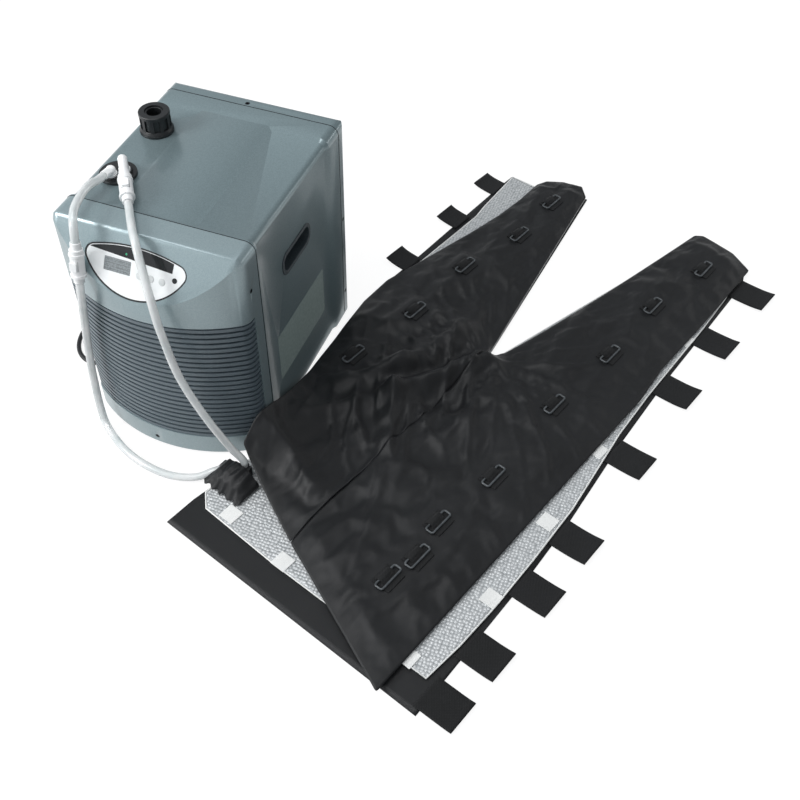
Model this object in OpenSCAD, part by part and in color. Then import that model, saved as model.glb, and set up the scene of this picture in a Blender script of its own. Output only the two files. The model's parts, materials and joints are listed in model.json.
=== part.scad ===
/* [Housing] */
// Width of the housing over its sides
body_w = 270; // [256:1:300]
// Depth from the rear face to the top front edge
body_d = 327; // [315:1:350]
// Height of the housing above its feet
body_h = 356; // [346:1:380]
// How far the curved front stands out past the top front edge
bulge = 46; // [38:1:54]
// Height of the sloped control face at the nose
face_drop = 75; // [66:1:84]
// Wall of the moulded covers
wall = 3; // [2.5:0.25:4]
// Radius of the upright front corners
front_corner_r = 20; // [14:1:26]
// Radius of the upright rear corners
rear_corner_r = 16; // [12:1:22]
// Radius of the long top edges
edge_r = 14; // [12:1:18]
// Radius of the edge between the top and the sloped face
brow_r = 8; // [6:1:12]
// Depth of the front cover's sides behind the top front edge
bezel_side = 36.5; // [32:0.5:42]
// Depth of the rear cover
rear_cover_d = 25.5; // [22:0.5:30]
// Height of the rubber feet
foot_h = 5; // [4:0.5:10]
// Radius of a rubber foot
foot_r = 12; // [9:0.5:14]
// Thickness of the sheet base pan
pan_t = 1.5; // [1:0.25:2.5]
// Height of the base pan's rim
pan_rim_h = 22; // [18:1:28]

/* [Side recesses] */
// Depth of the recessed side panels and of the wells on top
recess_depth = 4; // [3:0.25:5]
// Width of their sloped borders
recess_run = 7; // [5:0.5:10]
// Width of the right recess on top, from the side inwards
right_well_w = 90; // [80:1:96]
// Width of the left well on top, which holds the water fittings
left_well_w = 77; // [74:1:86]
// Length of the grip pockets
grip_l = 83; // [76:1:90]
// Height of the grip pockets
grip_h = 30; // [26:1:36]
// Depth of the grip pockets
grip_depth = 26; // [22:1:32]
// Distance of the grip pockets' middle below the top
grip_drop = 103; // [91:1:116]
// Length of the bare side plate
plate_l = 158; // [140:1:170]
// Height of the bare side plate
plate_h = 85; // [75:1:95]
// Thickness of the bare side plate
plate_t = 1; // [0.8:0.1:1.5]

/* [Grille] */
// Height of the plain band under the grille
band_h = 33; // [28:1:40]
// Height of the plain part between the louvred opening and the sloped face
brow_gap = 31; // [26:1:44]
// Number of louvres
louvres = 24; // [16:1:26]
// Height of a louvre's front face
louvre_face = 5.4; // [4.6:0.1:5.8]
// How far the louvres lie behind the cover's surface
grille_inset = 1; // [0.6:0.1:1.6]
// Depth of the louvres
louvre_depth = 4; // [3:0.25:5]

/* [Control panel] */
// Sideways place of the control panel's middle
panel_x = -6; // [-14:1:6]
// Radius of the panel's round lower edge
panel_low_r = 79; // [74:1:82]
// Radius of the panel's flatter upper edge
panel_top_r = 220; // [180:5:260]
// Distance down the slope to the panel's upper edge
panel_top_s = 18; // [17:0.5:21]
// Distance down the slope to the panel's lower edge
panel_low_s = 84; // [80:0.5:84.5]
// Radius of the panel's two ends
panel_end_r = 12; // [9:0.5:15]
// Width of the dark gasket round the panel
gasket_w = 2; // [1.5:0.1:2.5]
// How deep the panel lies in the face
panel_sink = 0.8; // [0.4:0.1:1.2]
// Width of the display window
lcd_w = 38; // [32:1:42]
// Height of the display window
lcd_h = 18; // [15:1:19]
// Radius of a round button
button_r = 4.5; // [3.5:0.25:5]
// Distance between the round buttons
button_pitch = 16; // [13:0.5:17]
// Travel of a button
button_travel = 0.8; // [0.5:0.1:1]

/* [Water fittings] */
// Diameter of the union nut over its ribs
nut_d = 43; // [40:0.5:46]
// Height of the union nut
nut_h = 27; // [25:1:34]
// Number of ribs on the union nut
nut_ribs = 10; // [8:1:14]
// Bore of the water port
port_bore_d = 20; // [14:0.5:21]
// Outer diameter of the port's threaded pipe
port_pipe_d = 32; // [29:0.5:33]
// Diameter of the black hose socket's flange
socket_d = 50; // [46:1:54]
// Outer diameter of the water hoses
hose_d = 11; // [9:0.5:12]
// Diameter of a quick coupling's body
coupling_d = 18; // [17:0.5:20]
// Length of a quick coupling
coupling_l = 56; // [50:1:60]
// Travel of a coupling's thumb latch
latch_travel = 2; // [1:0.25:2.5]

/* [Inside] */
// Diameter of the compressor
compressor_d = 110; // [98:1:112]
// Height of the compressor's can
compressor_h = 150; // [135:1:165]
// Diameter of the cooling fan
fan_d = 168; // [150:1:174]
// Number of fan blades
fan_blades = 5; // [4:1:7]
// Pitch of the fan blades in degrees
blade_pitch = 32; // [24:1:38]
// Diameter of the chilled water tank
tank_d = 100; // [90:1:102]
// Height of the chilled water tank
tank_h = 225; // [200:1:230]
// Height of the finned condenser
condenser_h = 226; // [200:2:234]
// Thickness of the finned condenser
condenser_t = 30; // [24:1:34]
// Number of condenser fins
fins = 22; // [14:1:26]

/* [Mains cord] */
// Diameter of the mains cord
cord_d = 7; // [6:0.25:8]
// Turns in each layer of the stored coil
coil_turns = 2; // [1:1:3]
// Layers of the stored coil
coil_layers = 2; // [2:2:4]
// Radius of the coil at the middle of its turns
coil_r = 39; // [36:1:42]
// Travel of the rocker switch in degrees
rocker_travel = 18; // [12:1:22]

/* [Therapy trousers] */
// Turn of the trousers on the floor in degrees
garment_turn = -19; // [-21:0.5:-17]
// Length of the trousers from the back waist to the hems
garment_l = 1000; // [960:5:1040]
// Depth of the crotch below the waist
crotch_v = 510; // [480:5:540]
// How far the front panel's edge lies inside the back panel's
front_margin = 54; // [43:1:68]
// Half width of the back panel at the waist
back_half = 283; // [270:1:300]
// Width of a trouser leg's front at the hem
hem_w = 117; // [105:1:130]
// How far each hem lies from the middle line
hem_spread = 100; // [85:1:115]
// Thickness of the back panel
back_t = 1.8; // [1.2:0.1:2.5]
// Thickness of the quilted liner
liner_t = 4; // [3:0.25:5]
// Thickness of the front panel at its edges
front_edge_t = 4; // [3:0.25:6]
// Crown of the front panel over the liner
front_crown = 10; // [6:0.5:14]
// Length of a closing tab
tab_l = 48; // [40:1:56]
// Width of a closing tab
tab_w = 50; // [44:1:56]
// Length of a strap ring
ring_l = 44; // [38:1:50]
// Width of a strap ring
ring_w = 15; // [12:0.5:18]
// Thickness of a strap ring's rod
ring_rod = 3; // [2.4:0.2:3.6]

/* [Hidden] */
$fn = 64;
fine = 360;            // facets of the large arcs
eps = 0.01;
seat = 0.1;            // clearance between pieces that fit in each other
run = 0.05;            // radial clearance of a shank in its hole
cut = 1;               // how far a cutter stands out of what it cuts

hw = body_w / 2;
z0 = foot_h;
z_top = foot_h + body_h;
y_front = -body_d / 2;
y_rear = body_d / 2;
y_nose = y_front - bulge;
seam_front = y_front + bezel_side;
seam_rear = y_rear - rear_cover_d;

// Plan of the front: one large arc, met by a round corner on each side
arc_r = (pow(hw, 2) + pow(bulge, 2)) / (2 * bulge);
arc_y = y_nose + arc_r;
corner_x = hw - front_corner_r;
corner_y = arc_y - sqrt(pow(arc_r - front_corner_r, 2) - pow(corner_x, 2));
arc_half = asin(corner_x / (arc_r - front_corner_r));
rear_x = hw - rear_corner_r;
rear_y = y_rear - rear_corner_r;
far = 2 * body_d;

// The sloped control face
slope_l = norm([bulge, face_drop]);
slope_a = atan2(face_drop, bulge);
function slope_y(z, d = 0) = y_front + (z - z_top) * bulge / face_drop + d * slope_l / face_drop;
function slope_z(y, d = 0) = z_top + (y - y_front - d * slope_l / face_drop) * face_drop / bulge;

// Control panel: all its pieces share these depths below the sloped face
panel_low_c = panel_low_s - panel_low_r;
panel_top_c = panel_top_s + panel_top_r;
end_low = panel_low_r - panel_end_r;
end_top = panel_top_r - panel_end_r;
panel_gap = panel_top_c - panel_low_c;
end_s = panel_low_c + (pow(panel_gap, 2) + pow(end_low, 2) - pow(end_top, 2)) / (2 * panel_gap);
end_x = sqrt(pow(end_low, 2) - pow(end_s - panel_low_c, 2));
flange_w = 5;
end_over = 0.02;       // the ends stand out by this, so that their circles cross the long arcs
gasket_sink = 0.4;
button_gap = 0.15;
lens_t = 2;
fascia_back = wall + 2;
board_depth = fascia_back + 9;
board_t = 1.6;
switch_h = 3.5;
strip_t = 1.1;
strip_s = panel_top_s + 12.5;
led_s = strip_s - 1.5;
led_x = panel_x - 14;
led_r = 1.5;
lcd_x = panel_x - 25;
lcd_s = 46.5;
buttons_x = panel_x + 7;
buttons_s = 52;
power_x = panel_x + 56;
power_s = 46;
power_r = 3.4;

// Recesses
right_x_in = hw - right_well_w;
left_x_in = hw - left_well_w;
recess_y0 = seam_front + 3;
recess_y1 = seam_rear - 33;
side_x = hw - recess_depth;
well_z = z_top - recess_depth;
grip_y = (recess_y0 + recess_y1) / 2 + 0.5;
grip_rim = 4;
grip_wall = 2;
plate_y = grip_y + 2;
plate_z = z0 + 107.5;

// Base pan and screws
pan_inset = wall + recess_depth + seat;
pan_z = z0 + pan_t;
foot_stem_r = 4;
screw_r = 1.5;
screw_head_r = 3.4;
screw_sink = 1.6;
screw_l = 9;
tongue_t = 2.5;
tongue_l = 13;
tongue_z = z0 + pan_rim_h + 2;
base_screw_z = z0 + 11;
boss_r = 4.5;
ear_z = z_top - 94;
ear_h = 60;
ear_l = 28;
root_l = 3;
front_screw_a = -4;

// Grille
grille_z = z0 + band_h;
grille_h = body_h - face_drop - band_h - brow_gap;
grille_y = seam_front - 21;
louvre_pitch = grille_h / louvres;
grille_lap = 6;
frame_t = 2;
post_w = 3;
post_l = 5;

// Water fittings stand in the left well
port_x = -hw + 38;
port_y = 45;
port_r = port_pipe_d / 2;
port_bore_r = port_bore_d / 2;
port_flange_h = 4;
port_top = well_z + 15;
port_tail_r = port_bore_r + 3;
port_low = well_z - wall - 24;
nut_z = well_z + port_flange_h + 0.3;
nut_r = nut_d / 2;
nut_clear = 0.08;
nut_rim_h = 5;
collar_t = 4;
collar_z = port_top + seat;
lip_z = collar_z + collar_t + 0.15;
neck_r = port_bore_r + 2.8;
neck_top = nut_z + nut_h - 2;
socket_x = -hw + 40;
socket_y = -62;
socket_r = socket_d / 2;
socket_h = 4;
socket_low = well_z - wall - 16;
hose_r = hose_d / 2;
coupling_r = coupling_d / 2;
supply_port = [socket_x + 9, socket_y + 3];
return_port = [socket_x - 2, socket_y - 11.5];
supply_bend = [supply_port[0], supply_port[1], well_z + 24];
return_bend = [return_port[0], return_port[1], well_z + 14];
// Routes, drawn round a housing of this half width, rear, nose and height, and fitted to the real one
drawn = [135, 163.5, -209.5, 361];
function fit(q) = q + [(hw - drawn[0]) * min(1, max(-1, q[0] / 100)),
    (y_rear - drawn[1]) * clamp((q[1] - 100) / 60) + (y_nose - drawn[2]) * clamp((-130 - q[1]) / 40),
    (z_top - drawn[3]) * clamp((q[2] - 50) / 200)];
function fitted(route) = [for (q = route) fit(q)];
supply_end = fit([-42, -124, 371]);
supply_in = supply_end + coupling_l * unit(supply_bend - supply_end);
link_start = fit([-96.5, -90, 374]);
return_in = fit([-79, -196, 351]);
return_out_dir = unit([1, -13, -54]);
return_out = return_in + coupling_l * return_out_dir;
fitting_bore_r = 3.8;
elbow_r = 6;
coupling_end_r = hose_r + 1.5;
coupling_end_l = 9;
latch_l = 13;
latch_w = 10;
latch_at = coupling_l * 0.42;
latch_floor = coupling_r - 4;
latch_top = coupling_r + 3;

// Inside
condenser_y = grille_y + 8;
condenser_w = 2 * (hw - pan_inset) - 34;
header_t = 3;
fin_t = 0.8;
tube_r = 3.5;
tube_rows = 6;
filter_t = 5;
shroud_y = condenser_y + condenser_t + 0.2;
shroud_t = 2;
ring_wall = 5;
duct_l = 25;
fan_z = pan_z + condenser_h / 2;
fan_y = shroud_y + 14;
fan_r = fan_d / 2;
hub_r = 19;
hub_l = 20;
blade_t = 2;
motor_r = 30;
motor_l = 34;
motor_y = shroud_y + duct_l;
blade_w = (2 * (motor_y - fan_y) - blade_t - 1.2) / sin(blade_pitch);
shaft_r = 3;
compressor_x = 62;
compressor_y = 72;
compressor_r = compressor_d / 2;
mount_h = 12;
mount_r = 8;
mount_reach = compressor_r - 7;
foot_plate_t = 3;
dome_h = 24;
dome_top_r = 26;
can_z = pan_z + mount_h + foot_plate_t;
can_top = can_z + compressor_h + dome_h;
tank_x = -68;
tank_y = 66;
tank_r = tank_d / 2;
tank_top = pan_z + tank_h;
pump_x = -92;
pump_y = -48;
pump_r = 24;
pump_h = 42;
pump_top = pan_z + pump_h;
pump_floor = 12;
impeller_r = 16;
feed_z = pan_z + 24;
inner_hose_r = 6;
pipe_r = 3.2;
drier_r = 8;

// Rear cover
gland_x = -88;
gland_z = z0 + 40;
gland_r = 9;
gland_l = 24.5;
gland_body_r = gland_r - 2;
rocker_x = -48;
rocker_z = gland_z;
rocker_w = 14;
rocker_h = 21;
slots = 15;
slot_pitch = 11;
slot_w = 50;
slot_h = 5;
slot_cols = 3;
slot_z = z0 + 120;
slot_gap = 62;
rocker_axis_y = y_rear - 2;
rocker_r = rocker_h / 2 - 0.5;
rocker_case = 1.5;
rocker_case_l = 13;
pin_r = 1.2;

// Trousers: p runs across them and v from the waist to the hems
garment_x = hw + 81;
garment_y = y_nose - 164.5;
front_z = back_t + liner_t + 0.3;
cols = 14;
rows = 34;
sew = 0.2;
waist_mid = 72;
waist_rise = 62;
waist_fall = 90;
left_hem = [[0, 966], [0.2, 986], [0.6, 975], [0.9, 957], [1, 939]];
right_hem = [[0, 1000], [0.1, 1008], [0.65, 998], [1, 978]];
left_edge = [[134, -146], [172, -142], [224, -159], [286, -181], [354, -201], [434, -221],
    [495, -234], [560, -238], [640, -224], [745, -206], [820, -196], [880, -193], [965, -196]];
front_half = back_half - front_margin;
right_edge = [[0, front_half], [600, front_half], [680, front_half - 8], [820, front_half - 8],
    [garment_l - 20, hem_spread + hem_w]];
// Height of the crest where the front panel leans up against the housing's corner
crest = [[134, 40], [158, 72], [172, 80], [194, 68], [224, 50], [254, 33], [286, 18], [320, 8],
    [360, 3], [400, 0]];
crest_w = 45;
// Main folds: start, end, half width, height
folds = [
    [[7, 508], [-55, 360], 15, 16],
    [[-55, 360], [-120, 250], 20, 8],
    [[-57, 540], [-82, 404], 22, 14],
    [[-82, 404], [-123, 330], 20, 10],
    [[-150, 185], [-30, 150], 16, 8],
    [[-60, 355], [-4, 278], 13, 8],
    [[-4, 278], [60, 160], 15, 5],
    [[-18, 375], [50, 420], 16, -5],
    [[-160, 480], [-90, 560], 18, 7],
    [[-150, 600], [-110, 690], 18, 5],
    [[80, 560], [60, 700], 22, 4],
    [[150, 700], [120, 860], 22, 3]
];
back_right = [[sew, -8], [back_half, -8], [back_half - 8, 250], [back_half - 15, 350],
    [back_half - 35, 520], [back_half - 48, 680], [back_half - 54, 810], [back_half - 61, 950],
    [back_half - 75, 985], [hem_spread, 990]];
back_left = [[-105, 972], [-205, 940], [-250, 938], [-250, 900], [-245, 750], [-241, 640],
    [-241, 560], [-237, 495], [-224, 434], [-204, 354], [-184, 286], [-162, 224], [-145, 172],
    [-150, 122], [-158, 42], [-158, -8], [-sew, -8]];
liner_out_right = [[sew, 36], [back_half - 20, 37], [back_half - 15, 100], [back_half - 14, 173],
    [back_half - 17, 265], [back_half - 23, 369], [back_half - 45, 529], [back_half - 52, 624],
    [back_half - 59, 805], [back_half - 65, 891], [back_half - 77, 975], [hem_spread + 2, 982]];
liner_out_left = [[-107, 966], [-200, 936], [-246, 934], [-240, 884], [-234, 830], [-228, 796],
    [-227, 640], [-236, 560], [-232, 495], [-219, 434], [-199, 354], [-179, 286], [-157, 224],
    [-141, 172], [-148, 130], [-152, 60], [-131, 41], [-sew, 36]];
// Tabs: middle in v, inner end in p
right_tabs = [[25, back_half - 11], [110, back_half - 12], [226, back_half - 13.5],
    [326, back_half - 18], [497, back_half - 36], [658, back_half - 51], [791, back_half - 56],
    [931, back_half - 64]];
left_tabs = [[623, -233], [768, -237], [890, -245]];
tab_t = 1.6;
right_rings = [[141, 110], [150, 160], [137, 221], [148, 333], [138, 501], [146, 644], [142, 780],
    [160, 917]];
left_rings = [[-160, 385], [-144, 518], [-150, 659], [-130, 789], [-138, 900]];
strap_l = 30;
strap_w = 34;
strap_t = 1.5;
block = [hw - 25, y_nose - 38.5, front_z];
block_size = [30, 32, 18];
block_top = front_z + block_size[2];
block_port = [block[0] + 20, block[1] + 30];
block_side_y = block[1] + 19;
block_side_z = 14;

supply_route = concat([supply_end], fitted([[-34, -135.5, 369], [-22, -153, 368], [-11, -168, 368],
    [0, -182, 362], [9, -193, 351], [18, -203, 338], [27, -213, 321], [34, -220, 301],
    [40, -225, 277], [47, -228, 248], [53, -230, 221], [60, -231, 195], [70, -232, 170],
    [82, -232, 143], [95, -231, 115], [107, -228, 88], [118, -225, 64], [126, -221, 47]]),
    [[block_port[0], block_port[1], block_top + 10], [block_port[0], block_port[1], block_top + 1]]);
link_route = concat([link_start], fitted([[-96.1, -103.5, 376.5], [-97, -121, 381],
    [-96, -138, 382], [-93, -155, 382],
    [-89, -170, 381], [-85, -181, 377], [-81, -189, 371], [-79.3, -193.2, 362.5]]), [return_in]);
return_route = concat([return_out], fitted([[-77.8, -212.3, 283], [-79, -213, 266], [-84, -210, 246],
    [-91, -205, 222], [-97, -202, 196], [-102, -200, 168], [-106, -199, 140], [-110, -198, 110],
    [-112, -198, 80], [-112, -200, 55], [-110, -203, 33], [-104, -209, 16], [-92, -218, 8],
    [-75, -229, 6], [-52, -242, 6], [-26, -252, 6], [0, -258, 6], [26, -260, 6], [50, -257, 7],
    [72, -249, 9], [87, -236, 12]]), [[block[0] - 11, block_side_y, block_side_z],
    [block[0], block_side_y, block_side_z]]);
power_route = concat([[gland_x, y_rear + gland_l, gland_z], [gland_x, y_rear + gland_l + 8, gland_z]],
    fitted([[-90, 204, 40],
    [-94, 209, 30], [-101, 208, 18], [-111, 203, 8], [-123, 195, 3.6], [-136, 183, 3.6],
    [-146, 166, 3.6], [-151, 145, 3.6], [-153, 115, 3.6], [-154, 80, 3.6], [-155, 40, 3.6],
    [-155, 0, 3.6], [-156, -40, 3.6], [-159, -68, 3.6], [-166, -90, 3.6], [-179, -103, 3.6],
    [-197, -106, 3.6], [-216, -97, 3.6], [-230, -80, 3.6], [-238, -57, 3.6], [-240, -30, 3.6],
    [-236, 0, 3.6], [-226, 35, 3.6], [-211, 70, 3.6], [-195, 105, 3.6], [-181, 138, 3.6],
    [-170, 165, 3.6], [-157, 190, 3.6], [-140, 209, 3.6], [-119, 220, 3.6], [-97, 222, 3.6],
    [-78, 215, 3.6], [-64, 206, 3.6], [-50, 200, 3.6], [-38, 200, 3.6]]));
coil_c = fit([-30, 200, 0]) + [0, coil_r + coil_turns / 2 * (cord_d + 0.6), 0];
coil_step = cord_d + 0.6;
coil_low = 3.6;
coil_ring = 24;
coil_lead = cord_d + 1;
coil_all = coil_layers * coil_turns + (coil_layers - 1) / 2;
coil_top = coil_low + (coil_layers - 1) * coil_step;
plug_w = 21;
plug_l = 30;
plug_h = 20;

function unit(v) = v / norm(v);
function mix(a, b, t) = a + (b - a) * t;
function clamp(x) = min(1, max(0, x));

// Points of the coil, counted in turns: each layer winds in or out, then climbs in half a turn
function coil_point(t) = let (layer = floor(t / (coil_turns + 0.5)), u = t - layer * (coil_turns + 0.5),
    in = min(u, coil_turns) - coil_turns / 2, r = coil_r + (layer % 2 == 0 ? -in : in) * coil_step,
    z = coil_low + (layer + max(0, u - coil_turns) * 2) * coil_step, a = 270 + 360 * t)
    [coil_c[0] + r * cos(a), coil_c[1] + r * sin(a), z];
coil_path = [for (i = [0:round(coil_all * coil_ring)]) coil_point(min(i / coil_ring, coil_all - 0.0001))];

// Shape of the front panels
function inner(v, left) = let (u = max(0, v - crotch_v)) left ?
    -sew - (hem_spread + 5) * u / (garment_l - 35 - crotch_v) :
    sew + hem_spread * pow(u / (garment_l - crotch_v), 0.8);
function outer(v, left) = lookup(v, left ? left_edge : right_edge);
function waist(t, left) = left ? waist_mid + waist_rise * t : waist_mid - waist_fall * t;
function hem(t, left) = lookup(t, left ? left_hem : right_hem);
function off_line(q, a, b) = let (d = b - a, u = clamp((q - a) * d / (d * d))) norm(q - a - u * d);
function ridges(q, i = 0) = i == len(folds) ? 0 : ridges(q, i + 1)
    + folds[i][3] * exp(-pow(off_line(q, folds[i][0], folds[i][1]) / folds[i][2], 2));
function cloth_z(p, v, left) = let (
    t = clamp((p - inner(v, left)) / (outer(v, left) - inner(v, left))),
    legs = clamp((v - crotch_v) / 40),
    ends = clamp((v - waist(t, left)) / 36) * clamp((hem(t, left) - v) / 30),
    crown = (1 - pow(t, 6)) * (1 - legs * pow(1 - t, 6)) * (0.2 + 0.8 * ends),
    lean = left ? lookup(v, crest) * exp((outer(v, left) - p) / crest_w) : 0)
    front_z + front_edge_t + crown * (front_crown + ridges([p, v])) + lean;
function strap_z(q) = max([for (i = [-1, 0, 1], j = [-1, 0, 1])
    cloth_z(q[0] + i * strap_l / 2, q[1] + j * strap_w / 2, q[0] < 0)]) + 0.3;

// ---------- shared shapes ----------

// Outline of the housing seen from above, set in by d
module plan(d = 0) {
    translate([-(hw - d), corner_y]) square([2 * (hw - d), rear_y - corner_y]);
    translate([-rear_x, corner_y]) square([2 * rear_x, y_rear - d - corner_y]);
    intersection() {
        translate([0, arc_y]) circle(arc_r - d, $fn = fine);
        polygon([[0, arc_y], [-far * sin(arc_half), arc_y - far * cos(arc_half)],
            [far * sin(arc_half), arc_y - far * cos(arc_half)]]);
    }
    for (s = [-1, 1]) {
        translate([s * corner_x, corner_y]) circle(front_corner_r - d);
        translate([s * rear_x, rear_y]) circle(rear_corner_r - d);
    }
}

// Outline of the housing seen from the front, set in by d and open below z_low
module section(d = 0, z_low = z0) {
    translate([-(hw - d), z_low]) square([2 * (hw - d), z_top - edge_r - z_low]);
    translate([-(hw - edge_r), z_low]) square([2 * (hw - edge_r), z_top - d - z_low]);
    for (s = [-1, 1]) translate([s * (hw - edge_r), z_top - edge_r]) circle(edge_r - d);
}

// Outline of the nose seen from the side, with its sloped face and round brow
module nose_profile(d = 0) {
    y_out = y_nose - 10;
    tip_y = slope_y(z_top - d, d);
    r = brow_r - d;
    t = r / tan((180 - slope_a) / 2);
    c = [tip_y + t, z_top - d - r];
    n = [-face_drop, bulge] / slope_l;
    difference() {
        polygon([[tip_y, z_top - d], [y_rear, z_top - d], [y_rear, z0 - 5], [y_out, z0 - 5],
            [y_out, slope_z(y_out, d)]]);
        difference() {
            polygon([c, [c[0], z_top - d + 1], [tip_y - 1, z_top - d + 1], c + (r + 1) * n]);
            translate(c) circle(r);
        }
    }
}

// Outline of the rear cover seen from the side, with a round upper edge
module tail_profile(d = 0) {
    translate([0, z0 - 5]) square([y_rear - d, z_top - edge_r - z0 + 5]);
    translate([0, z0 - 5]) square([y_rear - edge_r, z_top - d - z0 + 5]);
    translate([y_rear - edge_r, z_top - edge_r]) circle(edge_r - d);
}

// Lays a shape drawn in X and Z along Y
module along_y(y_from, y_to)
    translate([0, y_to, 0]) rotate([90, 0, 0]) linear_extrude(y_to - y_from) children();

// Lays a shape drawn in Y and Z along X
module along_x(x_from, x_to)
    translate([x_from, 0, 0]) rotate([90, 0, 90]) linear_extrude(x_to - x_from) children();

// Moves to the sloped face: x across, y up the slope, z out of the face
module on_slope(s = 0, x = 0, depth = 0)
    translate([0, y_front, z_top]) rotate([slope_a, 0, 0]) translate([x, -s, -depth]) children();

// Turns a shape drawn along Z so that it runs from a towards b
module aim(a, b) {
    d = b - a;
    translate(a) rotate([0, acos(d[2] / norm(d)), atan2(d[1], d[0])]) children();
}

module rounded(w, h, r) {
    square([w - 2 * r, h], center = true);
    square([w, h - 2 * r], center = true);
    for (i = [-1, 1], j = [-1, 1]) translate([i * (w / 2 - r), j * (h / 2 - r)]) circle(r);
}

// Material that a sloped-edge recess takes away, wrapping from the top over the edge to the side.
// grow moves all its faces into the wall behind it.
module recess(x_in, grow = 0) {
    lean = norm([recess_run, recess_depth]) / recess_depth * grow;
    rise = recess_run / recess_depth;
    deep = recess_depth + grow;
    y_a = recess_y0 - lean;
    y_b = recess_y1 + lean;
    span = [[y_a - cut * rise, cut], [y_b + cut * rise, cut], [y_b - deep * rise, -deep],
        [y_a + deep * rise, -deep]];
    intersection() {
        along_x(x_in - 40, hw - edge_r) translate([0, z_top]) polygon(span);
        along_y(recess_y0 - 40, recess_y1 + 40) translate([x_in - lean, z_top])
            polygon([[-cut * rise, cut], [far, cut], [far, -deep], [deep * rise, -deep]]);
    }
    translate([hw, 0, z0 - cut]) linear_extrude(z_top - edge_r - z0 + cut)
        polygon([for (q = span) [q[1], q[0]]]);
    translate([hw - edge_r, 0, z_top - edge_r]) rotate([90, 0, 0]) rotate_extrude(angle = 90)
        translate([edge_r, 0]) polygon([for (q = span) [q[1], -q[0]]]);
}

module both_recesses(grow = 0) {
    recess(right_x_in, grow);
    mirror([1, 0, 0]) recess(left_x_in, grow);
}

// Panel outline on the sloped face, set in by d
module panel_outline(d = 0) {
    low = end_low / panel_low_r;
    cut_low = [end_x / low, panel_low_c + (end_s - panel_low_c) / low];
    top = end_top / panel_top_r;
    cut_top = [end_x / top, panel_top_c + (end_s - panel_top_c) / top];
    translate([panel_x, 0]) mirror([0, 1]) {
        intersection() {
            translate([0, panel_low_c]) circle(panel_low_r - d, $fn = fine);
            translate([0, panel_top_c]) circle(panel_top_r - d, $fn = fine);
            polygon([[-cut_top[0], 0], [cut_top[0], 0], cut_top, [end_x, end_s], cut_low,
                [cut_low[0], 120], [-cut_low[0], 120], [-cut_low[0], cut_low[1]], [-end_x, end_s],
                [-cut_top[0], cut_top[1]]]);
        }
        for (s = [-1, 1]) translate([s * end_x, end_s]) circle(panel_end_r + end_over - d);
    }
}

// Screws: each place is a point on the surface and the way the screw points out
module at_screws() {
    translate([-7, seam_rear + 6.5, z_top]) children();
    for (s = [-1, 1]) {
        for (z = [190, 45]) translate([s * hw, seam_rear + 6.5, z0 + z])
            rotate([0, s * 90, 0]) children();
        translate([s * hw, corner_y + 4, ear_z + ear_h / 2 + 4]) rotate([0, s * 90, 0]) children();
    }
    at_base_screws() children();
}

module at_base_screws() {
    translate([0, arc_y, base_screw_z]) rotate([0, 0, front_screw_a]) translate([0, -arc_r, 0])
        rotate([90, 0, 0]) children();
    for (s = [-1, 1]) translate([s * 70, y_rear, base_screw_z]) rotate([-90, 0, 0]) children();
}

module screw() {
    difference() {
        translate([0, 0, -screw_sink]) cylinder(h = screw_sink - 0.2, r = screw_head_r);
        translate([0, 0, -1.2]) cylinder(h = 2, r = 1.6, $fn = 6);
    }
    translate([0, 0, -screw_l]) cylinder(h = screw_l - screw_sink, r = screw_r);
}

module screw_hole() {
    translate([0, 0, -screw_sink]) cylinder(h = screw_sink + cut, r = screw_head_r + seat);
    translate([0, 0, -screw_l - cut]) cylinder(h = screw_l + cut, r = screw_r + run);
}

// ---------- covers ----------

module main_shell() color("#8d9ca1") difference() {
    union() {
        difference() {
            along_y(seam_front, seam_rear) section();
            difference() {
                along_y(seam_front - cut, seam_rear + cut) section(wall, z0 - cut);
                both_recesses(wall);
            }
        }
        rear_tongue();
        front_ears();
    }
    both_recesses();
    at_screws() screw_hole();
    for (s = [-1, 1]) grip_hole(s);
    translate([side_x - plate_t, plate_y, plate_z]) rotate([90, 0, 90])
        linear_extrude(plate_t + cut) rounded(plate_l + 2 * seat, plate_h + 2 * seat, 4);
    translate([port_x, port_y, well_z - 2 * wall]) cylinder(h = 3 * wall, r = port_r + 1);
    translate([socket_x, socket_y, well_z - 2 * wall]) cylinder(h = 3 * wall, r = socket_r - 6 + seat);
}

// Inner rim that reaches under the rear cover
module rear_tongue() intersection() {
    difference() {
        union() {
            along_y(seam_rear - root_l, seam_rear) section(wall / 2, tongue_z);
            along_y(seam_rear, seam_rear + tongue_l) section(wall + seat, tongue_z);
        }
        along_y(seam_rear - far, seam_rear + far) section(wall + seat + tongue_t, tongue_z - cut);
    }
    union() {
        translate([-hw, seam_rear - root_l, z0]) cube([body_w, root_l, body_h]);
        translate([0, 0, z0]) linear_extrude(body_h) plan(wall + seat);
    }
    along_x(-hw, hw) tail_profile(wall + seat);
}

// Two ears inside the front cover that take its side screws
module front_ears() intersection() {
    difference() {
        union() {
            along_y(seam_front, seam_front + root_l) section(wall / 2);
            intersection() {
                along_y(seam_front - ear_l, seam_front) section(wall + seat);
                translate([0, 0, z0]) linear_extrude(body_h) plan(wall + seat);
            }
        }
        along_y(seam_front - far, seam_front + far) section(wall + seat + tongue_t);
        translate([0, 0, z0]) linear_extrude(body_h) intersection() {
            plan(wall + seat + tongue_t);
            translate([-far, seam_front - far]) square([2 * far, far]);
        }
    }
    for (s = [-1, 1]) translate([s * hw - 25, seam_front - 50, ear_z]) cube([50, 60, ear_h]);
}

module front_bezel() color("#a9b9be") difference() {
    nose(0);
    nose(wall);
    translate([-far, grille_y - far, grille_z]) cube([2 * far, far, grille_h]);
    on_slope(depth = 2 * wall) linear_extrude(3 * wall) panel_outline(-gasket_w - seat);
    at_screws() screw_hole();
}

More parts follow.
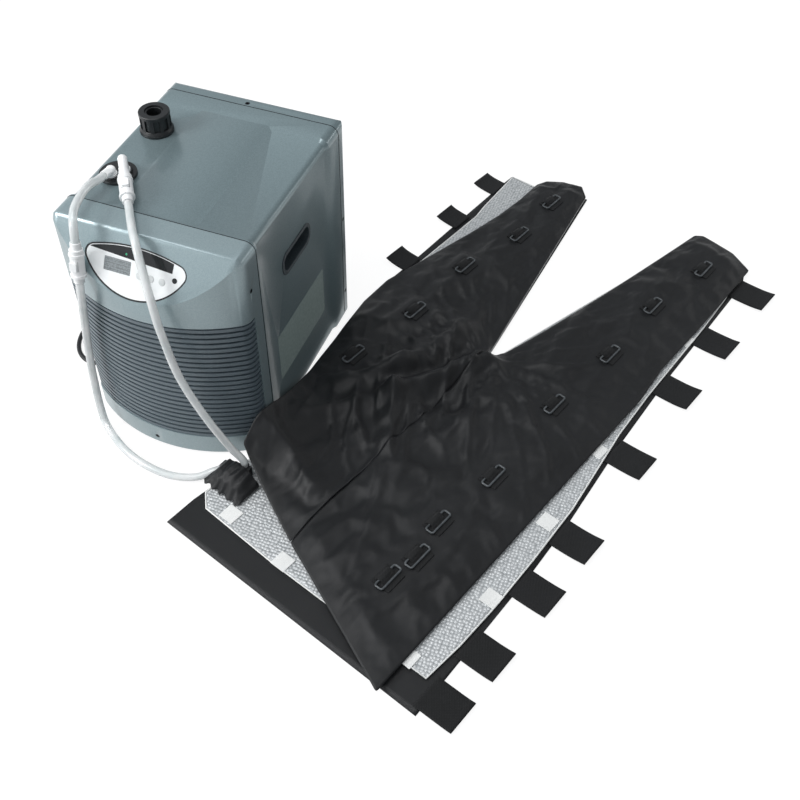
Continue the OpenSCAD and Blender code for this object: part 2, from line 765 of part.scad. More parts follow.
module nose(d) {
    z_low = d > 0 ? z0 - cut : z0;
    y_back = d > 0 ? seam_front + cut : seam_front;
    intersection() {
        translate([0, 0, z_low]) linear_extrude(z_top - z_low) plan(d);
        along_y(y_nose - 5, y_back) section(d, z_low);
        along_x(-hw - 5, hw + 5) nose_profile(d);
        on_slope() along_y(-far, far) translate([0, -z_top]) section(d, z_top - far);
    }
}

module rear_cover() color("#93a2a7") difference() {
    tail(0);
    tail(wall);
    for (c = [0:slot_cols - 1], i = [0:slots - 1])
        translate([(c - (slot_cols - 1) / 2) * slot_gap, y_rear + cut, slot_z + i * slot_pitch])
            rotate([90, 0, 0]) linear_extrude(2 * wall) rounded(slot_w, slot_h, slot_h / 2 - eps);
    translate([gland_x, y_rear + cut, gland_z]) rotate([90, 0, 0])
        cylinder(h = 2 * wall, r = gland_r - 2 + run);
    translate([rocker_x - rocker_w / 2 - 1.5 - seat, y_rear - 2 * wall, rocker_z - rocker_h / 2 - 1.5 - seat])
        cube([rocker_w + 3 + 2 * seat, 3 * wall, rocker_h + 3 + 2 * seat]);
    at_screws() screw_hole();
}

module tail(d) {
    z_low = d > 0 ? z0 - cut : z0;
    intersection() {
        translate([0, 0, z_low]) linear_extrude(z_top - z_low) plan(d);
        along_y(d > 0 ? seam_rear - cut : seam_rear, y_rear + 5) section(d, z_low);
        along_x(-hw - 5, hw + 5) tail_profile(d);
    }
}

// Louvred grille: a shell that follows the front, cut into louvres, on a frame with upright posts
module front_grille() color("#5d696e") {
    difference() {
        grille_shell(grille_inset, grille_inset + louvre_depth, grille_y - seat, seat);
        for (i = [0:louvres - 1])
            translate([-far, -far, grille_z + louvre_face + seat + i * louvre_pitch])
                cube([2 * far, 2 * far, louvre_pitch - louvre_face]);
    }
    difference() {
        grille_shell(wall + seat, wall + seat + frame_t, grille_y + grille_lap, -grille_lap);
        translate([-far, grille_y - grille_lap - far, grille_z + grille_lap])
            cube([2 * far, far, grille_h - 2 * grille_lap]);
    }
    for (i = [-4:4]) translate([0, arc_y, grille_z]) rotate([0, 0, i * 7.5])
        translate([-post_w / 2, -arc_r + grille_inset + louvre_depth - 1, -1])
            cube([post_w, post_l, grille_h + 2]);
}

// Thin shell between two insets, in front of y_back, shortened by trim at top and bottom
module grille_shell(outside, inside, y_back, trim) translate([0, 0, grille_z + trim])
    linear_extrude(grille_h - 2 * trim) intersection() {
        difference() {
            plan(outside);
            plan(inside);
        }
        translate([-far, y_back - far]) square([2 * far, far]);
    }

module air_filter() color("#2f3436") {
    w = condenser_w + 14;
    y = condenser_y - filter_t - 0.3;
    translate([-w / 2, y, pan_z]) difference() {
        cube([w, filter_t, condenser_h]);
        for (i = [0:5]) translate([8 + i * (w - 16) / 6 + 2, -cut, 8])
            cube([(w - 16) / 6 - 4, filter_t + 2 * cut, condenser_h - 16]);
    }
    translate([-w / 2 + 4, y + filter_t / 2 - 0.5, pan_z + 4]) cube([w - 8, 1, condenser_h - 8]);
}

module base_pan() color("#70797c") difference() {
    union() {
        translate([0, 0, z0]) linear_extrude(pan_rim_h) plan(pan_inset);
        at_base_screws() translate([0, 0, -pan_inset - 1])
            cylinder(h = pan_inset + 1 - wall - seat, r = boss_r);
    }
    translate([0, 0, pan_z]) linear_extrude(pan_rim_h) plan(pan_inset + pan_t);
    at_base_screws() screw_hole();
    at_feet() cylinder(h = 4 * pan_t, r = foot_stem_r + run, center = true);
}

// Places of the four corner feet and of the pad under the middle of the pan
module at_feet()
    for (q = [[-1, -1], [1, -1], [-1, 1], [1, 1], [0, 0]])
        translate([q[0] * (hw - 32), q[1] * (body_d / 2 - 38), z0]) children();

module rubber_feet() color("#1d1e20") at_feet() {
    translate([0, 0, -foot_h]) cylinder(h = foot_h, r1 = foot_r - 1.5, r2 = foot_r);
    cylinder(h = pan_t, r = foot_stem_r);
}

module housing_screws() color("#26282a") at_screws() screw();

// ---------- grips and side plate ----------

module grip_hole(s)
    translate([s * (side_x - wall / 2), grip_y, z_top - grip_drop]) rotate([90, 0, 90])
        linear_extrude(4 * wall, center = true) rounded(grip_l, grip_h, 12);

module grip_cup(s) color("#3d464b") translate([s * side_x, grip_y, z_top - grip_drop])
    rotate([90, 0, s * 90]) difference() {
        union() {
            linear_extrude(1.4) rounded(grip_l + 2 * grip_rim, grip_h + 2 * grip_rim, 12 + grip_rim);
            translate([0, 0, -grip_depth]) linear_extrude(grip_depth + 1)
                rounded(grip_l - 2 * seat, grip_h - 2 * seat, 12 - seat);
        }
        translate([0, 0, grip_wall - grip_depth]) linear_extrude(grip_depth + 2)
            rounded(grip_l - 2 * grip_wall, grip_h - 2 * grip_wall, 12 - grip_wall);
    }

module grip_cup_right() grip_cup(1);
module grip_cup_left() grip_cup(-1);

module side_plate() color("#5b6a6c") translate([side_x - plate_t, plate_y, plate_z])
    rotate([90, 0, 90]) linear_extrude(plate_t) rounded(plate_l, plate_h, 4 - seat);

// ---------- control panel ----------

module control_fascia() color("#f2f4f4") {
    difference() {
        union() {
            on_slope(depth = fascia_back) linear_extrude(fascia_back - panel_sink) panel_outline(seat);
            intersection() {
                on_slope(depth = fascia_back) linear_extrude(fascia_back - wall - seat)
                    panel_outline(-flange_w);
                translate([0, 0, z0]) linear_extrude(body_h) plan(wall + seat);
            }
        }
        on_slope(depth = panel_sink + strip_t) linear_extrude(10) strip_outline(0);
        on_slope(lcd_s, lcd_x, panel_sink + lens_t) linear_extrude(10) rounded(lcd_w, lcd_h, 1);
        on_slope(lcd_s, lcd_x, 20) linear_extrude(40) rounded(lcd_w - 4, lcd_h - 4, 1);
        at_buttons() translate([0, 0, -30]) cylinder(h = 40, r = button_r + button_gap);
        on_slope(power_s, power_x, 20) cylinder(h = 30, r = power_r + button_gap);
    }
    // Posts that carry the circuit board
    for (x = [-50, 46], s = [36, 62]) on_slope(s, panel_x + x, board_depth)
        cylinder(h = board_depth - fascia_back + 1, r = 2.5);
}

module fascia_gasket() color("#101112") on_slope(depth = wall)
    linear_extrude(wall - gasket_sink) difference() {
        panel_outline(-gasket_w);
        panel_outline(0);
    }

// Dark strip along the panel's upper edge
module strip_outline(d) intersection() {
    panel_outline(1 + d);
    translate([panel_x - 66 + d, d - strip_s]) rotate([0, 0, -3.7]) square([118 - 2 * d, 60]);
}

module indicator_strip() color("#17191a") difference() {
    on_slope(depth = panel_sink + strip_t) linear_extrude(strip_t + seat) strip_outline(seat);
    on_slope(led_s, led_x, 5) cylinder(h = 10, r = led_r + run);
}

module status_led() color("#2f8f6a") on_slope(led_s, led_x, panel_sink + strip_t)
    cylinder(h = strip_t + 0.3, r = led_r);

module display_lens() color("#8d9294") on_slope(lcd_s, lcd_x, panel_sink + lens_t)
    linear_extrude(lens_t - 0.2) rounded(lcd_w - 2 * seat, lcd_h - 2 * seat, 1);

module control_board() color("#1f5a3a") {
    on_slope(50, panel_x + 2, board_depth + board_t) linear_extrude(board_t) rounded(124, 36, 3);
    at_buttons() translate([0, 0, -board_depth]) tact_switch();
    on_slope(power_s, power_x, board_depth) tact_switch();
}

module tact_switch() translate([-3, -3, 0]) cube([6, 6, switch_h]);

module at_buttons()
    for (i = [0:2]) on_slope(buttons_s, buttons_x + i * button_pitch) children();

// Cap in the fascia, a collar that keeps it in, and a stem that ends above the switch
module button(i, r) {
    s = i < 3 ? buttons_s : power_s;
    x = i < 3 ? buttons_x + i * button_pitch : power_x;
    low = fascia_back + 0.2;
    on_slope(s, x, low + 1) {
        cylinder(h = low + 0.8, r = r);
        cylinder(h = 1, r = r + 1.2);
    }
    on_slope(s, x, board_depth - switch_h - button_travel - 0.2) cylinder(h = switch_h + 3, r = 1.5);
}

module set_button() color("#d5d8d8") button(0, button_r);
module down_button() color("#d5d8d8") button(1, button_r);
module up_button() color("#d5d8d8") button(2, button_r);
module power_button() color("#2b2d2e") button(3, power_r);

// ---------- water fittings ----------

module port_stub() color("#17181a") difference() {
    translate([port_x, port_y, 0]) {
        translate([0, 0, well_z - wall - 8]) cylinder(h = port_top - well_z + wall + 8, r = port_r);
        translate([0, 0, port_low]) cylinder(h = port_top - port_low, r = port_bore_r + 3);
        translate([0, 0, well_z]) cylinder(h = port_flange_h, r = nut_r + 2);
        translate([0, 0, well_z - wall - 8]) cylinder(h = 8, r = port_r + 5, $fn = 6);
    }
    translate([port_x, port_y, port_low - cut]) cylinder(h = far, r = port_bore_r);
}

module union_tail() color("#26282b") translate([port_x, port_y, 0]) difference() {
    union() {
        translate([0, 0, collar_z]) cylinder(h = collar_t, r = port_r - 0.5);
        translate([0, 0, collar_z]) cylinder(h = neck_top - collar_z, r = neck_r);
    }
    translate([0, 0, collar_z - cut]) cylinder(h = nut_h, r = port_bore_r);
}

module union_nut() color("#141517") translate([port_x, port_y, 0]) difference() {
    union() {
        translate([0, 0, nut_z]) cylinder(h = nut_h - nut_rim_h, r = nut_r - 2.5);
        translate([0, 0, nut_z + nut_h - nut_rim_h]) cylinder(h = nut_rim_h - 1, r = nut_r);
        translate([0, 0, nut_z + nut_h - 1]) cylinder(h = 1, r1 = nut_r, r2 = nut_r - 1);
        translate([0, 0, nut_z]) cylinder(h = 4, r1 = nut_r + 1.5, r2 = nut_r - 0.5);
        for (i = [0:nut_ribs - 1]) rotate([0, 0, i * 360 / nut_ribs])
            translate([nut_r - 4, -2.5, nut_z]) cube([3.6, 5, nut_h - 1]);
    }
    translate([0, 0, nut_z - cut]) cylinder(h = lip_z - nut_z + cut, r = port_r + nut_clear);
    translate([0, 0, nut_z]) cylinder(h = 2 * nut_h, r = neck_r + nut_clear);
}

module hose_socket() color("#1a1b1d") difference() {
    translate([socket_x, socket_y, 0]) {
        translate([0, 0, well_z]) cylinder(h = socket_h, r = socket_r);
        translate([0, 0, socket_low]) cylinder(h = well_z - socket_low + socket_h + 3, r = socket_r - 6);
    }
    for (q = [supply_port, return_port]) translate([q[0], q[1], socket_low - cut])
        cylinder(h = far, r = elbow_r + run);
}

// Bent pipe from the socket to a hose
module elbow(port, bend, tip) color("#eef0ef") difference() {
    union() {
        translate([port[0], port[1], socket_low]) cylinder(h = bend[2] - socket_low, r = elbow_r);
        translate([port[0], port[1], well_z + socket_h + 3]) cylinder(h = 3, r = elbow_r + 1.8);
        translate(bend) rotate([37, 21, 0]) sphere(elbow_r + 0.5);
        aim(bend, tip) cylinder(h = norm(tip - bend), r = elbow_r);
    }
    translate([port[0], port[1], socket_low - cut])
        cylinder(h = bend[2] - socket_low + cut + fitting_bore_r - 0.3, r = fitting_bore_r);
    aim(bend, tip) cylinder(h = norm(tip - bend) + cut, r = fitting_bore_r);
}

module supply_elbow() elbow(supply_port, supply_bend, supply_in);
module return_elbow() elbow(return_port, return_bend, link_start);

// Quick coupling with a pocket for its thumb latch, drawn along Z
module coupling_body() color("#f4f5f4") difference() {
    union() {
        cylinder(h = coupling_l, r = coupling_end_r);
        translate([0, 0, coupling_end_l]) cylinder(h = coupling_l - 2 * coupling_end_l, r = coupling_r);
        for (z = [0.3, 0.82]) translate([0, 0, coupling_l * z - 2])
            cylinder(h = 4, r = coupling_r + 1);
    }
    translate([0, 0, -cut]) cylinder(h = coupling_l + 2 * cut, r = fitting_bore_r);
    translate([-far - latch_floor, -latch_w / 2 - seat, latch_at - seat])
        cube([far, latch_w + 2 * seat, latch_l + 2 * seat]);
}

module latch_body() color("#dfe2e2") translate([-latch_top, 0, latch_at + latch_l / 2]) rotate([0, 90, 0])
    linear_extrude(latch_top - latch_floor - latch_travel) rounded(latch_l, latch_w, 2);

module supply_coupling() aim(supply_in, supply_end) coupling_body();
module supply_latch() aim(supply_in, supply_end) latch_body();
module return_coupling() aim(return_in, return_out) coupling_body();
module return_latch() aim(return_in, return_out) latch_body();

// ---------- inside ----------

module condenser_coil() color("#9aa3a6") translate([-condenser_w / 2, condenser_y, pan_z]) {
    for (z = [0, condenser_h - header_t]) translate([0, 0, z]) cube([condenser_w, condenser_t, header_t]);
    for (i = [0:fins]) translate([i * (condenser_w - fin_t) / fins, 0, header_t])
        cube([fin_t, condenser_t, condenser_h - 2 * header_t]);
    for (i = [0:tube_rows - 1]) translate([0, condenser_t / 2, (i + 0.5) * condenser_h / tube_rows])
        rotate([0, 90, 0]) cylinder(h = condenser_w, r = tube_r);
}

module fan_shroud() color("#3a3f42") translate([0, shroud_y, fan_z]) rotate([-90, 0, 0]) difference() {
    union() {
        translate([-condenser_w / 2, -condenser_h / 2, 0]) cube([condenser_w, condenser_h, shroud_t]);
        cylinder(h = duct_l, r = fan_r + 3 + ring_wall);
    }
    translate([0, 0, -cut]) cylinder(h = duct_l + 2 * cut, r = fan_r + 3);
}

module fan_motor() color("#55585a") translate([0, motor_y, fan_z]) rotate([-90, 0, 0]) {
    cylinder(h = motor_l, r = motor_r);
    translate([0, 0, fan_y - motor_y - hub_l / 2]) cylinder(h = motor_y - fan_y + hub_l / 2, r = shaft_r);
    for (i = [0:3]) rotate([0, 0, 45 + i * 90]) translate([motor_r - 2, -3, 0])
        cube([fan_r + 6 - motor_r, 6, 4]);
}

module fan_blade() color("#2a2d2f") translate([0, fan_y, fan_z]) rotate([-90, 0, 0]) difference() {
    union() {
        translate([0, 0, -hub_l / 2]) cylinder(h = hub_l, r = hub_r);
        intersection() {
            for (i = [0:fan_blades - 1]) rotate([0, 0, i * 360 / fan_blades]) rotate([blade_pitch, 0, 0])
                translate([hub_r - 5, -blade_w / 2, -blade_t / 2]) cube([fan_r, blade_w, blade_t]);
            cylinder(h = 3 * hub_l, r = fan_r, center = true);
        }
    }
    cylinder(h = 2 * hub_l, r = shaft_r + run, center = true);
}

module compressor() color("#1f2122") translate([compressor_x, compressor_y, 0]) {
    translate([0, 0, pan_z + mount_h]) cylinder(h = foot_plate_t, r = compressor_r - 1);
    translate([0, 0, can_z]) cylinder(h = compressor_h, r = compressor_r);
    translate([0, 0, can_z + compressor_h]) cylinder(h = dome_h, r1 = compressor_r, r2 = dome_top_r);
    translate([-16, -compressor_r - 10, can_z + 50]) cube([32, 20, 44]);
}

module compressor_mounts() color("#2a2a2a") translate([compressor_x, compressor_y, pan_z])
    for (a = [60, 180, 300]) rotate([0, 0, a]) translate([mount_reach, 0, 0])
        cylinder(h = mount_h, r = mount_r);

module chilled_tank() color("#c9ced0") translate([tank_x, tank_y, pan_z]) {
    cylinder(h = tank_h, r = tank_r - 1);
    for (z = [0, tank_h - 6]) translate([0, 0, z]) cylinder(h = 6, r = tank_r);
    translate([pump_x - tank_x + 6, 0, feed_z - pan_z]) rotate([90, 0, 0])
        cylinder(h = tank_r, r = inner_hose_r + 1);
}

module water_pump() color("#34383b") difference() {
    union() {
        translate([pump_x, pump_y, pan_z]) cylinder(h = pump_h, r = pump_r);
        translate([pump_x + 6, pump_y, feed_z]) rotate([-90, 0, 0])
            cylinder(h = pump_r + 4, r = inner_hose_r + 1);
    }
    translate([pump_x, pump_y, pan_z + pump_floor]) cylinder(h = pump_h - pump_floor - 4, r = impeller_r + 2);
    translate([pump_x, pump_y, pan_z + 4]) cylinder(h = pump_h, r = shaft_r + run);
}

module pump_impeller() color("#e6e6e2") translate([pump_x, pump_y, pan_z]) {
    translate([0, 0, pump_floor + 2]) cylinder(h = 3, r = impeller_r);
    for (i = [0:5]) rotate([0, 0, i * 60]) translate([1, -1, pump_floor + 4])
        cube([impeller_r - 2, 2, 14]);
    translate([0, 0, 5]) cylinder(h = pump_h - 6, r = shaft_r);
}

// Straight runs of pipe with round bends
module pipe(path, r) for (i = [0:len(path) - 2]) {
    aim(path[i], path[i + 1]) cylinder(h = norm(path[i + 1] - path[i]), r = r);
    if (i > 0) translate(path[i]) rotate([37, 21, 0]) sphere(r + 0.4);
}

module internal_pipes() color("#b7754a") {
    header_z = pan_z + condenser_h;
    mid_y = condenser_y + condenser_t / 2;
    high = header_z + 8;
    pipe([[70, 66, can_top], [70, 66, high], [98, 40, high], [98, mid_y, high],
        [98, mid_y, header_z]], pipe_r);
    pipe([[-60, mid_y, header_z], [-60, mid_y, high + 2], [-60, 40, high + 2], [-60, 40, tank_top]], pipe_r);
    translate([-60, -10, high + 2]) rotate([90, 0, 0]) cylinder(h = 50, r = drier_r);
    pipe([[-80, 84, tank_top], [-80, 84, high + 12], [46, 84, high + 12], [46, 84, can_top]], pipe_r);
    pipe([[port_x, port_y, port_low], [port_x, port_y, tank_top]], port_bore_r + 3);
    pipe([[supply_port[0], supply_port[1], socket_low], [supply_port[0], supply_port[1], pump_top]],
        inner_hose_r);
    pipe([[return_port[0], return_port[1], socket_low], [return_port[0], return_port[1], socket_low - 34],
        [-104, -40, socket_low - 34], [-78, 40, socket_low - 34], [-78, 40, tank_top]], inner_hose_r);
    pipe([[pump_x + 6, pump_y + pump_r + 4, feed_z], [pump_x + 6, tank_y - tank_r, feed_z]], inner_hose_r);
}

// ---------- rear fittings ----------

module rocker_frame() color("#1b1c1e") translate([rocker_x, 0, rocker_z]) difference() {
    union() {
        translate([-rocker_w / 2 - 4, y_rear, -rocker_h / 2 - 4]) cube([rocker_w + 8, 1.4, rocker_h + 8]);
        translate([-rocker_w / 2 - rocker_case, y_rear - rocker_case_l, -rocker_h / 2 - rocker_case])
            cube([rocker_w + 2 * rocker_case, rocker_case_l + 1, rocker_h + 2 * rocker_case]);
    }
    difference() {
        translate([-rocker_w / 2, y_rear - rocker_case_l + rocker_case, -rocker_h / 2])
            cube([rocker_w, 2 * rocker_case_l, rocker_h]);
        translate([-rocker_w / 2 - 1, rocker_axis_y, 0]) rotate([0, 90, 0])
            cylinder(h = rocker_w + 2, r = pin_r);
    }
}

module rocker_switch() color("#2a2c2f") translate([rocker_x, rocker_axis_y, rocker_z])
    rotate([-rocker_travel / 2, 0, 0]) difference() {
        intersection() {
            rotate([0, 90, 0]) cylinder(h = rocker_w - 2 * seat, r = rocker_r, center = true);
            along_x(-rocker_w / 2, rocker_w / 2)
                polygon([[-6, -20], [6, -20], [6, -8], [3.2, 0], [6, 8], [6, 20], [-6, 20]]);
        }
        rotate([0, 90, 0]) cylinder(h = rocker_w + 2, r = pin_r + run, center = true);
    }

module cord_gland() color("#1b1c1e") translate([gland_x, y_rear, gland_z]) rotate([-90, 0, 0]) {
    translate([0, 0, -wall - 4]) cylinder(h = wall + 5, r = gland_body_r);
    cylinder(h = 4, r = gland_r, $fn = 6);
    translate([0, 0, -wall - 4]) cylinder(h = 4, r = gland_r, $fn = 6);
    cylinder(h = gland_l, r1 = gland_body_r - 1, r2 = cord_d / 2 + 0.6);
}

// ---------- hoses and cords ----------

// Square cross-sections along a route, each turned as little as possible from the one before
module tube(path, r, sides) {
    n = len(path);
    ways = [for (i = [0:n - 1]) unit(path[min(i + 1, n - 1)] - path[max(i - 1, 0)])];
    starts = [for (i = 0, u = unit(cross(ways[0], [0.31, 0.42, 0.85])); i < n;
        u = turned(u, ways[i]), i = i + 1) turned(u, ways[i])];
    points = [for (i = [0:n - 1], k = [0:sides - 1]) let (a = k * 360 / sides)
        path[i] + r * (cos(a) * starts[i] + sin(a) * cross(ways[i], starts[i]))];
    ends = [[for (k = [0:sides - 1]) k], [for (k = [0:sides - 1]) n * sides - 1 - k]];
    skin = [for (i = [0:n - 2], k = [0:sides - 1]) let (a = i * sides + k,
        b = i * sides + (k + 1) % sides) each [[a, a + sides, b + sides], [a, b + sides, b]]];
    polyhedron(points, concat(ends, skin));
}

function turned(u, way) = unit(u - (u * way) * way);

module supply_hose() color("#dfe3e0") tube(supply_route, hose_r, 8);
module link_hose() color("#dfe3e0") tube(link_route, hose_r, 8);
module return_hose() color("#dfe3e0") tube(return_route, hose_r, 8);
module power_cord() color("#151617") tube(power_route, cord_d / 2, 8);

module cord_coil() color("#151617") {
    echo(coil_gap = coil_step - cord_d);
    lead = [coil_path[0] - [coil_lead, 0, 0]];
    tail = [coil_path[len(coil_path) - 1] - [coil_lead, 0, 0]];
    tube(concat(lead, coil_path, tail), cord_d / 2, 6);
}

module cord_plug() color("#1b1c1e") translate(coil_path[len(coil_path) - 1] - [coil_lead, 0, 0])
    rotate([0, -90, 0]) {
        cylinder(h = 24, r1 = cord_d / 2 + 0.6, r2 = 7);
        translate([0, 0, 20]) linear_extrude(plug_l) rounded(plug_h, plug_w, 5);
        for (y = [-1, 1]) translate([-3, y * 5.5 - 0.75, 20 + plug_l - 1]) cube([6, 1.5, 18]);
        translate([5.5, 0, 20 + plug_l - 1]) cylinder(h = 20, r = 2.3);
    }

// ---------- therapy trousers ----------

module on_garment() translate([garment_x, garment_y, 0]) rotate([0, 0, garment_turn]) children();

module back_panel_right() color("#26282b") on_garment() linear_extrude(back_t)
    polygon(concat(back_right, [[sew + 2, crotch_v + 4]]));

module back_panel_left() color("#26282b") on_garment() linear_extrude(back_t)
    polygon(concat(back_left, [[-sew - 2, crotch_v + 4]]));

module liner_right() color("#b9bdbf") on_garment() translate([0, 0, back_t]) linear_extrude(liner_t)
    polygon(concat(liner_out_right, [[sew + 2, crotch_v + 4]]));

module liner_left() color("#b9bdbf") on_garment() translate([0, 0, back_t]) linear_extrude(liner_t)
    polygon(concat(liner_out_left, [[-sew - 2, crotch_v + 4]]));

// Upper cloth: a grid of heights over a flat underside
module front_panel(left) color("#2b2d30") on_garment() {
    w = cols + 1;
    n = w * (rows + 1);
    grid = [for (j = [0:rows], i = [0:cols]) let (t = i / cols,
        v = mix(waist(t, left), hem(t, left), j / rows)) [mix(inner(v, left), outer(v, left), t), v]];
    top = [for (q = grid) [q[0], q[1], cloth_z(q[0], q[1], left)]];
    low = [for (q = grid) [q[0], q[1], front_z]];
    cells = [for (j = [0:rows - 1], i = [0:cols - 1]) j * w + i];
    upper = [for (a = cells) each [[a, a + w, a + w + 1], [a, a + w + 1, a + 1]]];
    under = [for (a = cells) each [[a + n, a + n + w + 1, a + n + w], [a + n, a + n + 1, a + n + w + 1]]];
    rim = concat([for (i = [0:cols - 1]) [i, i + 1]],
        [for (j = [0:rows - 1]) [j * w + cols, (j + 1) * w + cols]],
        [for (i = [0:cols - 1]) [rows * w + cols - i, rows * w + cols - i - 1]],
        [for (j = [0:rows - 1]) [(rows - j) * w, (rows - j - 1) * w]]);
    border = [for (e = rim) each [[e[0] + n, e[0], e[1]], [e[0] + n, e[1], e[1] + n]]];
    faces = concat(upper, under, border);
    polyhedron(concat(top, low), left ? [for (f = faces) [f[2], f[1], f[0]]] : faces);
}

module front_panel_right() front_panel(false);
module front_panel_left() front_panel(true);

module side_tabs() color("#1a1b1d") on_garment() {
    for (q = right_tabs) translate([q[1], q[0] - tab_w / 2, back_t]) cube([tab_l + 12, tab_w, tab_t]);
    for (q = left_tabs) translate([q[1] - tab_l - 12, q[0] - tab_w / 2 + 4, back_t])
        cube([tab_l + 12, tab_w - 8, tab_t]);
}

module at_straps() for (q = concat(right_rings, left_rings)) translate([q[0], q[1], strap_z(q)]) children();

module ring_straps() color("#232527") on_garment() at_straps() linear_extrude(strap_t)
    square([strap_l, strap_w], center = true);

module strap_rings() color("#55585b") on_garment() at_straps() translate([0, 0, strap_t + 0.1 + ring_rod / 2])
    for (s = [-1, 1]) {
        translate([s * (ring_w - ring_rod) / 2, 0, 0]) rotate([90, 0, 0])
            cylinder(h = ring_l - ring_w, r = ring_rod / 2, center = true);
        translate([0, s * (ring_l - ring_w) / 2, 0]) rotate([0, 0, s < 0 ? 180 : 0])
            rotate_extrude(angle = 180) translate([(ring_w - ring_rod) / 2, 0]) circle(ring_rod / 2);
    }

module garment_port() color("#141517") {
    translate(block) cube(block_size);
    translate([block_port[0], block_port[1], block[2] + block_size[2] - 1]) cylinder(h = 2, r = hose_r + 1);
}

// ---------- the object ----------

main_shell();
front_bezel();
front_grille();
air_filter();
rear_cover();
base_pan();
rubber_feet();
housing_screws();
grip_cup_right();
grip_cup_left();
side_plate();
control_fascia();
fascia_gasket();
display_lens();
indicator_strip();
status_led();
control_board();
power_button();
set_button();
down_button();
up_button();
port_stub();
union_tail();
union_nut();
hose_socket();
supply_elbow();
return_elbow();
supply_coupling();
supply_latch();
return_coupling();
return_latch();
condenser_coil();
fan_shroud();
fan_motor();
fan_blade();
compressor();
compressor_mounts();
chilled_tank();
water_pump();
pump_impeller();
internal_pipes();
rocker_frame();
rocker_switch();
cord_gland();
supply_hose();
link_hose();
return_hose();
power_cord();
cord_coil();
cord_plug();
back_panel_right();
back_panel_left();
liner_right();
liner_left();
front_panel_right();
front_panel_left();
side_tabs();
strap_rings();
ring_straps();
garment_port();
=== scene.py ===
import json
import math

import bmesh
import bpy
from mathutils import Matrix, Vector, noise


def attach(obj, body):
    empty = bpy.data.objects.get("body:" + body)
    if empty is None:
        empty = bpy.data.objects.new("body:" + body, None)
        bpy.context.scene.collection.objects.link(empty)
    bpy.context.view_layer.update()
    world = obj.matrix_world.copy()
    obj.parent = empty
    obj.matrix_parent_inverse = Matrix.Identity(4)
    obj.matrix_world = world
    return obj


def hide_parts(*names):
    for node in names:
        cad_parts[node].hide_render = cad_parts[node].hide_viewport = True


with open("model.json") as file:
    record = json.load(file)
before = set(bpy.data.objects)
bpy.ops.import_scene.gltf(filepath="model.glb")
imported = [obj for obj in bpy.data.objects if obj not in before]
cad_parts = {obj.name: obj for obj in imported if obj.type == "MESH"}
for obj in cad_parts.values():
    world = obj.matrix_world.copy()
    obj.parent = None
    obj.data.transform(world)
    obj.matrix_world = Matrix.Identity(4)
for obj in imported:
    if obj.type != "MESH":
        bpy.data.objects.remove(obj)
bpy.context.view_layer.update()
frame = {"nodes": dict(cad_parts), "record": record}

# ---------- camera ----------
# The photograph was taken from in front, right of the machine and well above it, with the trousers
# running away to the right. Its place, lens and small roll were solved from the housing's edges.
photo_az, photo_el, photo_roll = (math.radians(a) for a in (19.61463, 48.59926, 1.22374))
view_back = Vector((math.sin(photo_az) * math.cos(photo_el), -math.cos(photo_az) * math.cos(photo_el),
                    math.sin(photo_el)))
view_right = (-view_back).cross(Vector((0, 0, 1))).normalized()
camera = bpy.data.objects.new("camera", bpy.data.cameras.new("camera"))
camera.data.sensor_width = 36
camera.data.lens = 1064.1463827 / 800 * 36
camera.data.clip_end = 50
camera.matrix_world = (Matrix.Translation((0.64502, -1.01420, 1.21802))
                       @ Matrix((view_right, view_right.cross(-view_back), view_back)).transposed().to_4x4()
                       @ Matrix.Rotation(photo_roll, 4, "Z"))
bpy.context.collection.objects.link(camera)
bpy.context.scene.camera = camera

# ---------- water hoses ----------
# Three lengths of soft milky tubing, 11 mm outside, extruded and cut square. The supply hose runs from
# the right coupling over the front to the trousers; the return side is a short link, a coupling and a hose.


def linear(colour):
    """An sRGB hex colour as linear red, green, blue and alpha."""
    parts = [int(colour[i:i + 2], 16) / 255 for i in (1, 3, 5)]
    return [c / 12.92 if c <= 0.04045 else ((c + 0.055) / 1.055) ** 2.4 for c in parts] + [1.0]


def add(tree, kind, settings, links=(), into=None):
    """Adds a node. settings are its properties, its sockets or a ramp's stops, links are the outputs that feed
    its sockets, and into is the shader's socket that its own result goes to."""
    made = tree.nodes.new(kind)
    for key, value in settings.items():
        if key == "stops":
            for stop, (place, colour) in zip(made.color_ramp.elements, value):
                stop.position, stop.color = place, linear(colour)
        elif isinstance(key, str) and hasattr(made, key):
            setattr(made, key, value)
        else:
            made.inputs[key].default_value = value
    for socket, (source, output) in dict(links).items():
        tree.links.new(source.outputs[output], made.inputs[socket])
    if into:
        tree.links.new(made.outputs[0], tree.nodes["Principled BSDF"].inputs[into])
    return made


def finish(name, colour, roughness, **more):
    """A new material with its plain values on the shader's own sockets, and its Object coordinates."""
    made = bpy.data.materials.new(name)
    made.use_nodes = True
    sockets = made.node_tree.nodes["Principled BSDF"].inputs
    sockets["Base Color"].default_value, sockets["Roughness"].default_value = linear(colour), roughness
    for socket, value in more.items():
        sockets[socket.replace("_", " ")].default_value = value
    return made, made.node_tree, add(made.node_tree, "ShaderNodeTexCoord", {})


# Plasticised PVC, extruded: light passes some way in, and the wall shows slow waves 30 mm long.
milky_pvc, tree, place = finish("milky_pvc_tube", "#f2f5f5", 0.16, IOR=1.53, Transmission_Weight=0.35,
                                Coat_Weight=0.3, Coat_Roughness=0.08)
waves = add(tree, "ShaderNodeTexNoise", {"Scale": 33.0, "Detail": 2.0}, {"Vector": (place, "Object")})
add(tree, "ShaderNodeValToRGB", {"stops": ((0.35, "#e4eaea"), (0.65, "#fafbfb"))}, {"Fac": (waves, "Fac")},
    "Base Color")
add(tree, "ShaderNodeBump", {"Strength": 1.0, "Distance": 0.0006}, {"Height": (waves, "Fac")}, "Normal")


